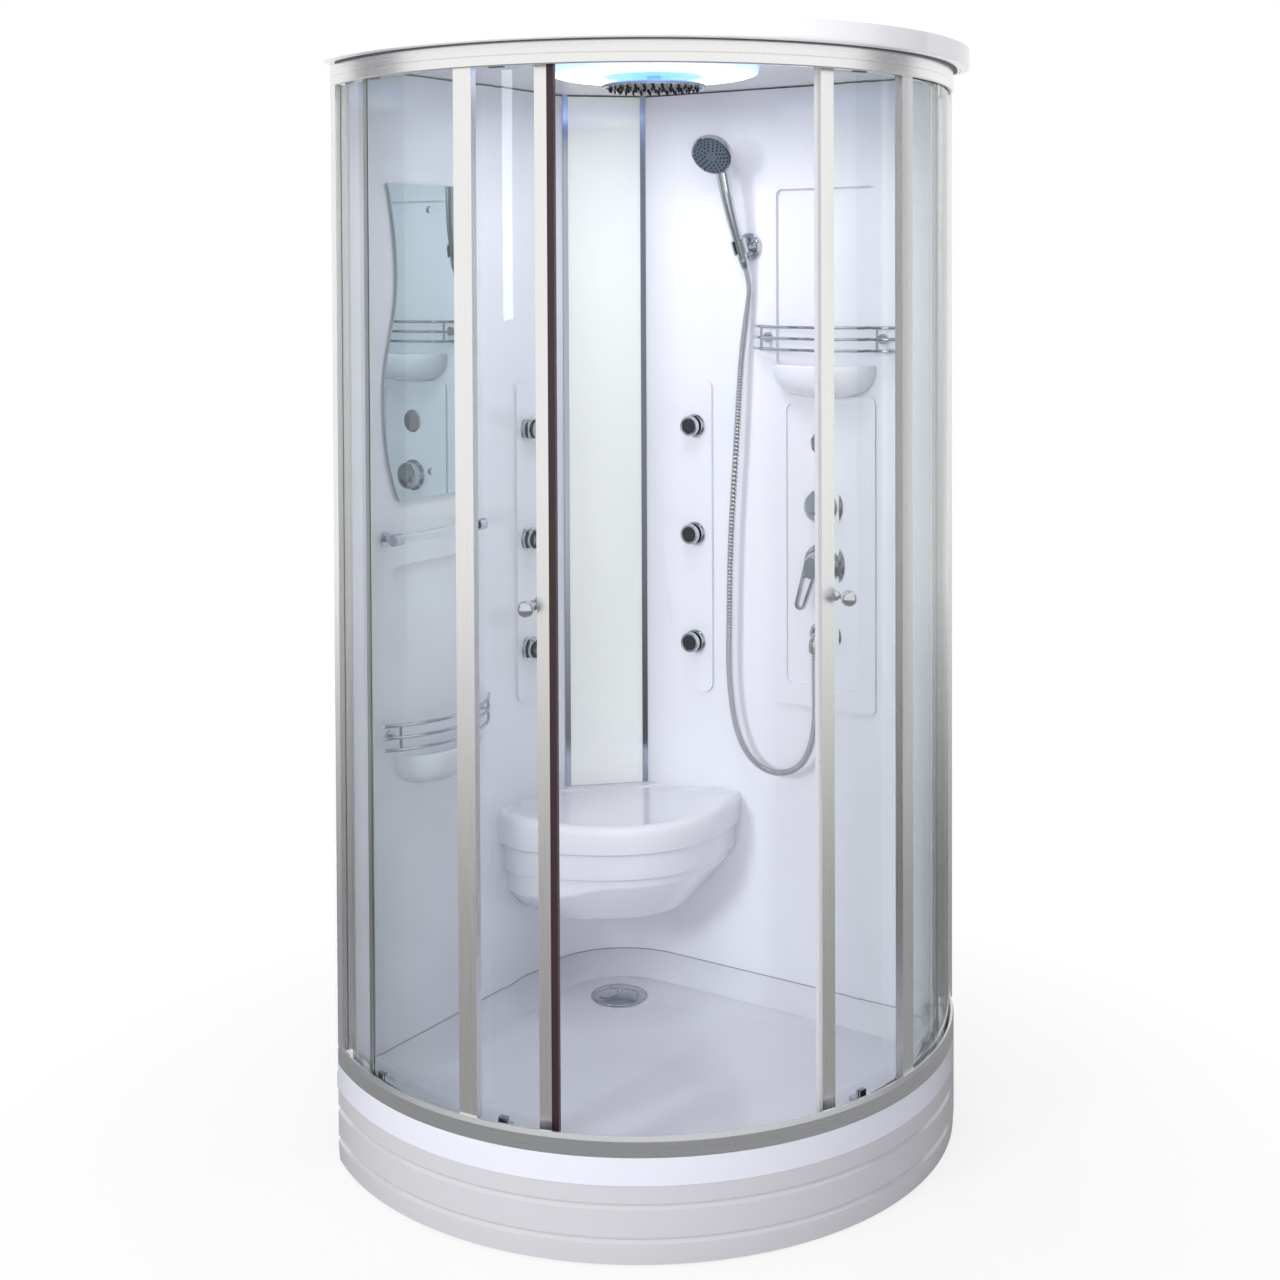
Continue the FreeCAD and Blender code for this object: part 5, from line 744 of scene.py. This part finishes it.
def make_shelf(name, height, spot, turned):
    """A rounded bowl under the shelf, with a low lip round its front."""
    bowl = lathe(SHELF_ROWS, 96)
    bowl.scale = (1, SHELF_FLATTENED, 1)
    set_place()
    cut_away(bowl, (0, 0.0004, 0), (0, 1, 0))
    bowl.rotation_euler = (0, 0, math.radians(90) if turned else 0)
    bowl.location = in_frame(*spot, height)
    pick_only(bowl)
    set_place()
    add_trim(bowl, name, "cabin", "wall_acrylic")


def make_bead(name, look, start, end, height, size):
    """A level bead of sealing between two points, half a size proud of them."""
    start, end = in_frame(*start, height), in_frame(*end, height)
    pick_only()
    bpy.ops.mesh.primitive_cylinder_add(vertices=12, radius=size / 2, depth=(end - start).length)
    add_trim(bpy.context.object, name, "cabin", look, (start + end) / 2, end - start)


def make_corner_bead():
    """The bead where the hollow corner stands on the tray."""
    pick_only()
    middle = in_frame(-COLUMN_MIDDLE, COLUMN_MIDDLE, TRAY_LINE)
    bpy.ops.mesh.primitive_torus_add(major_radius=COLUMN_RADIUS, minor_radius=BEAD / 2, major_segments=96,
                                     minor_segments=10, location=middle)
    bead = bpy.context.object
    set_place()
    cut_away(bead, middle, (1, 0, 0))
    cut_away(bead, middle, (0, -1, 0))
    add_trim(bead, "corner_bead", "cabin", "joint_grey")


def make_joints():
    """Thin lines of sealing on the tray, and dark strips that paint the shadow in the gap under the ceiling."""
    for side, start, end in (("right", (-COLUMN_MIDDLE, WALL_FACE), (526, WALL_FACE)),
                             ("left", (-WALL_FACE, COLUMN_MIDDLE), (-WALL_FACE, -526))):
        make_bead("tray_bead_" + side, "joint_grey", start, end, TRAY_LINE, BEAD)
    make_corner_bead()
    # Dark strips where the walls meet the ceiling: painted shadow in the gap.
    for side, start, end in (("right", (-200, WALL_FACE), (450, WALL_FACE)),
                             ("left", (-WALL_FACE, 200), (-WALL_FACE, -450)),
                             ("corner", (-WALL_FACE, 200), (-200, WALL_FACE))):
        make_bead("ceiling_line_" + side, "joint_dark", start, end, CEILING_LINE, SHADOW_GAP)


# --- roof edge ----------------------------------------------------------------------------

ROOF_REACH, ROOF_BACK, ROOF_ROUND = 672, 360, 120
# Off the roof's outer edge and height, in millimetres.
ROOF_LIP = [(-3, 2127), (0.3, 2126.6), (0.3, 2121), (-0.5, 2116.5), (-1.8, 2114.2), (-3.8, 2113),
            (-6, 2112.6), (-18, 2112.6), (-14, 2120), (-3, 2127)]
# A near-black strip in the gap between the roof's lip and the top rail, on the same measures: painted shadow.
ROOF_GAP = [(-37.6, 2110.8), (-24, 2110.8), (-24, 2112.8), (-37.6, 2112.8), (-37.6, 2110.8)]


def make_roof_run(name, rows, look):
    """A moulding round the front of the roof and its two rounded corners."""
    side = ROOF_BACK - ROOF_ROUND
    deep = math.sqrt((ROOF_REACH - ROOF_ROUND) ** 2 - side ** 2)
    turn_x, turn_y = side / (ROOF_REACH - ROOF_ROUND), deep / (ROOF_REACH - ROOF_ROUND)
    runs = [(ROOF_REACH, (0, 0), [(-turn_y, turn_x, 0), (-turn_x, turn_y, 0)], 256),
            (ROOF_ROUND, (-side, -deep), [(turn_y, -turn_x, 0), (0, 1, 0)], 96),
            (ROOF_ROUND, (deep, side), [(turn_x, -turn_y, 0), (-1, 0, 0)], 96)]
    pieces = []
    for reach, middle, ways, sides in runs:
        piece = lathe([(reach + off, height) for off, height in rows], sides)
        into_frame(piece, in_frame(*middle, 0), UP)
        for way in ways:
            cut_away(piece, in_frame(*middle, 0), way)
        pieces.append(piece)
    add_trim(join(pieces), name, "cabin", look)


# --- studio -------------------------------------------------------------------------------

WHITE, GREY, DARK = (1, 1, 1), (0.32, 0.32, 0.34), (0.18, 0.18, 0.20)
# Name, place, width, height, colour and strength, and whether the gloss outside the cabin shows it too.
CARDS = [
    ("flag_left", (-3.6, -1.6, 1.5), 1.8, 3.6, GREY, 1, True),
    ("flag_right", (3.2, 2.6, 1.5), 1.8, 3.6, GREY, 1, True),
    ("flag_middle", (2.3, -3.7, 1.7), 1.5, 2.2, DARK, 1, False),
    ("strip_left", (-1.0, -4.2, 2.3), 0.35, 1.6, WHITE, 8, False),
    ("strip_right", (3.6, -2.6, 2.3), 0.35, 1.6, WHITE, 8, False),
]
# Name, place, what it is aimed at, size and power.
LAMPS = [
    ("key_box", (-0.9, -4.6, 2.5), (0, 0, 1.2), 1.0, 98),
    ("fill_box", (2.4, -4.0, 1.5), (0, 0, 0.9), 1.6, 54),
    ("top_box", (0.9, -1.7, 3.9), (0.2, -0.4, 1.9), 1.2, 18),
    ("cabin_lamp", in_frame(120, -120, 2058), in_frame(60, -60, 0), 0.3, 2.0),
]
WORLD_TINT, WORLD_STRENGTH = (0.88, 0.90, 0.97), 0.56
CARD_AIM = Vector((0, 0, 1.2))
# Where the floor goes from shadow to white, and from grey to white for gloss: metres from, to and least share.
FLOOR_FADE, MIRRORED_FADE = (0.6, 1.4, 0.78), (2.0, 7.0, 0.30)
# How much of what the gloss inside the cabin mirrors through the glass is taken away.
BEHIND_GLASS = 0.62


def mirrored_only(tree):
    """One for rays that gloss has thrown back, straight or through glass, and nought for the rest."""
    path = tree.nodes.new("ShaderNodeLightPath")
    bounced = math_node(tree, "GREATER_THAN", path.outputs["Glossy Depth"], 0.5)
    clean = math_node(tree, "SUBTRACT", 1.0, path.outputs["Is Diffuse Ray"])
    return math_node(tree, "MULTIPLY", bounced, clean)


def dim_behind_glass(tree):
    """Less than one for what the gloss inside the cabin mirrors through the glass, and one for the rest."""
    path = tree.nodes.new("ShaderNodeLightPath")
    inside = math_node(tree, "MULTIPLY", mirrored_only(tree), path.outputs["Is Transmission Ray"])
    return math_node(tree, "SUBTRACT", 1.0, math_node(tree, "MULTIPLY", inside, BEHIND_GLASS))


def floor_material():
    """Pale with the cabin's shadow near it, white far off, and grey near the cabin for gloss to mirror."""
    material = bpy.data.materials.new("studio_floor")
    material.use_nodes = True
    tree = material.node_tree
    nodes, links = tree.nodes, tree.links
    shader = nodes["Principled BSDF"]
    glow, dark = nodes.new("ShaderNodeEmission"), nodes.new("ShaderNodeEmission")
    shader.inputs["Base Color"].default_value = (0.90, 0.90, 0.90, 1)
    shader.inputs["Roughness"].default_value = 0.7
    glow.inputs["Color"].default_value = (*WHITE, 1)
    path, coordinates = nodes.new("ShaderNodeLightPath"), nodes.new("ShaderNodeTexCoord")
    away = vector_node(tree, "LENGTH", coordinates.outputs["Object"])
    seen = math_node(tree, "ADD", path.outputs["Is Camera Ray"], path.outputs["Is Transmission Ray"])
    share = math_node(tree, "MULTIPLY", seen, ramp_node(tree, away, *FLOOR_FADE))
    links.new(ramp_node(tree, away, *MIRRORED_FADE), dark.inputs["Color"])
    links.new(dim_behind_glass(tree), dark.inputs["Strength"])
    plain = mix_shaders(tree, share, shader, glow)
    whole = mix_shaders(tree, mirrored_only(tree), plain, dark)
    links.new(whole.outputs[0], nodes["Material Output"].inputs["Surface"])
    return material


def make_floor():
    """A plain pale floor that fades into the background far from the cabin."""
    pick_only()
    bpy.ops.mesh.primitive_circle_add(vertices=96, radius=14.0, fill_type="NGON",
                                      location=(0, 0, cad_low.z - 0.0005))
    floor = bpy.context.object
    floor.name = "studio_floor"
    floor.data.materials.append(floor_material())


def card_material(name, colour, strength):
    """A card that glows, and is there only for rays that a glossy surface has thrown back."""
    material = bpy.data.materials.new(name)
    material.use_nodes = True
    tree = material.node_tree
    tree.nodes.remove(tree.nodes["Principled BSDF"])
    glow, clear = tree.nodes.new("ShaderNodeEmission"), tree.nodes.new("ShaderNodeBsdfTransparent")
    glow.inputs["Color"].default_value, glow.inputs["Strength"].default_value = (*colour, 1), strength
    mixed = mix_shaders(tree, mirrored_only(tree), clear, glow)
    tree.links.new(mixed.outputs[0], tree.nodes["Material Output"].inputs["Surface"])
    return material


def make_card(name, spot, width, height, colour, strength, outside):
    """A card that only gloss shows: dark flags and bright strips give the plated pieces something to mirror.

    The gloss outside the cabin shows it too where outside says so, and else only what is behind the glass.
    """
    pick_only()
    bpy.ops.mesh.primitive_plane_add(size=1, location=spot)
    card = bpy.context.object
    card.name = name
    card.scale = (width, height, 1)
    card.rotation_euler = (CARD_AIM - Vector(spot)).to_track_quat("Z", "Y").to_euler()
    set_place()
    card.data.materials.append(card_material(name, colour, strength))
    card.visible_camera = card.visible_diffuse = card.visible_shadow = False
    card.visible_glossy = outside


def make_lamp(name, spot, aim, size, power):
    """A soft box at a spot, aimed at a point, that gloss and glass don't show."""
    lamp = bpy.data.lights.new(name, "AREA")
    lamp.shape, lamp.size, lamp.energy = "SQUARE", size, power
    box = bpy.data.objects.new(name, lamp)
    bpy.context.collection.objects.link(box)
    box.location = spot
    box.rotation_euler = (Vector(aim) - Vector(spot)).to_track_quat("-Z", "Y").to_euler()
    box.visible_glossy = box.visible_transmission = False


def make_world():
    """A pale surround that lights the cabin softly, and is white for the camera, gloss and glass."""
    world = bpy.data.worlds.new("surround")
    bpy.context.scene.world = world
    world.use_nodes = True
    tree = world.node_tree
    tree.nodes.clear()
    light, seen, path, out = (tree.nodes.new(kind) for kind in (
        "ShaderNodeBackground", "ShaderNodeBackground", "ShaderNodeLightPath", "ShaderNodeOutputWorld"))
    light.inputs["Color"].default_value = (*WORLD_TINT, 1)
    light.inputs["Strength"].default_value = WORLD_STRENGTH
    seen.inputs["Color"].default_value = (*WHITE, 1)
    tree.links.new(dim_behind_glass(tree), seen.inputs["Strength"])
    either = math_node(tree, "ADD", path.outputs["Is Camera Ray"], path.outputs["Is Transmission Ray"])
    either = math_node(tree, "ADD", either, path.outputs["Is Glossy Ray"])
    mixed = mix_shaders(tree, math_node(tree, "MINIMUM", either, 1.0), light, seen)
    tree.links.new(mixed.outputs[0], out.inputs["Surface"])


def make_studio():
    """Soft boxes round the cabin and a pale surround."""
    make_floor()
    for card in CARDS:
        make_card(*card)
    for lamp in LAMPS:
        make_lamp(*lamp)
    make_world()
    bpy.context.scene.view_settings.view_transform = "Standard"


place_camera()
dress_nodes()
make_hose()
make_spray_faces()
make_hand_shower()
make_roof_run("roof_lip", ROOF_LIP, "roof_acrylic")
# A near-black strip in the gap between the roof's lip and the top rail: painted shadow.
make_roof_run("roof_gap", ROOF_GAP, "joint_dark")
make_seat()
make_shelf("shelf_bowl_right", 1513, (258, WALL_FACE), False)
make_shelf("shelf_bowl_left", 751, (-WALL_FACE, -258), True)
make_joints()
make_holder_rose()
make_studio()
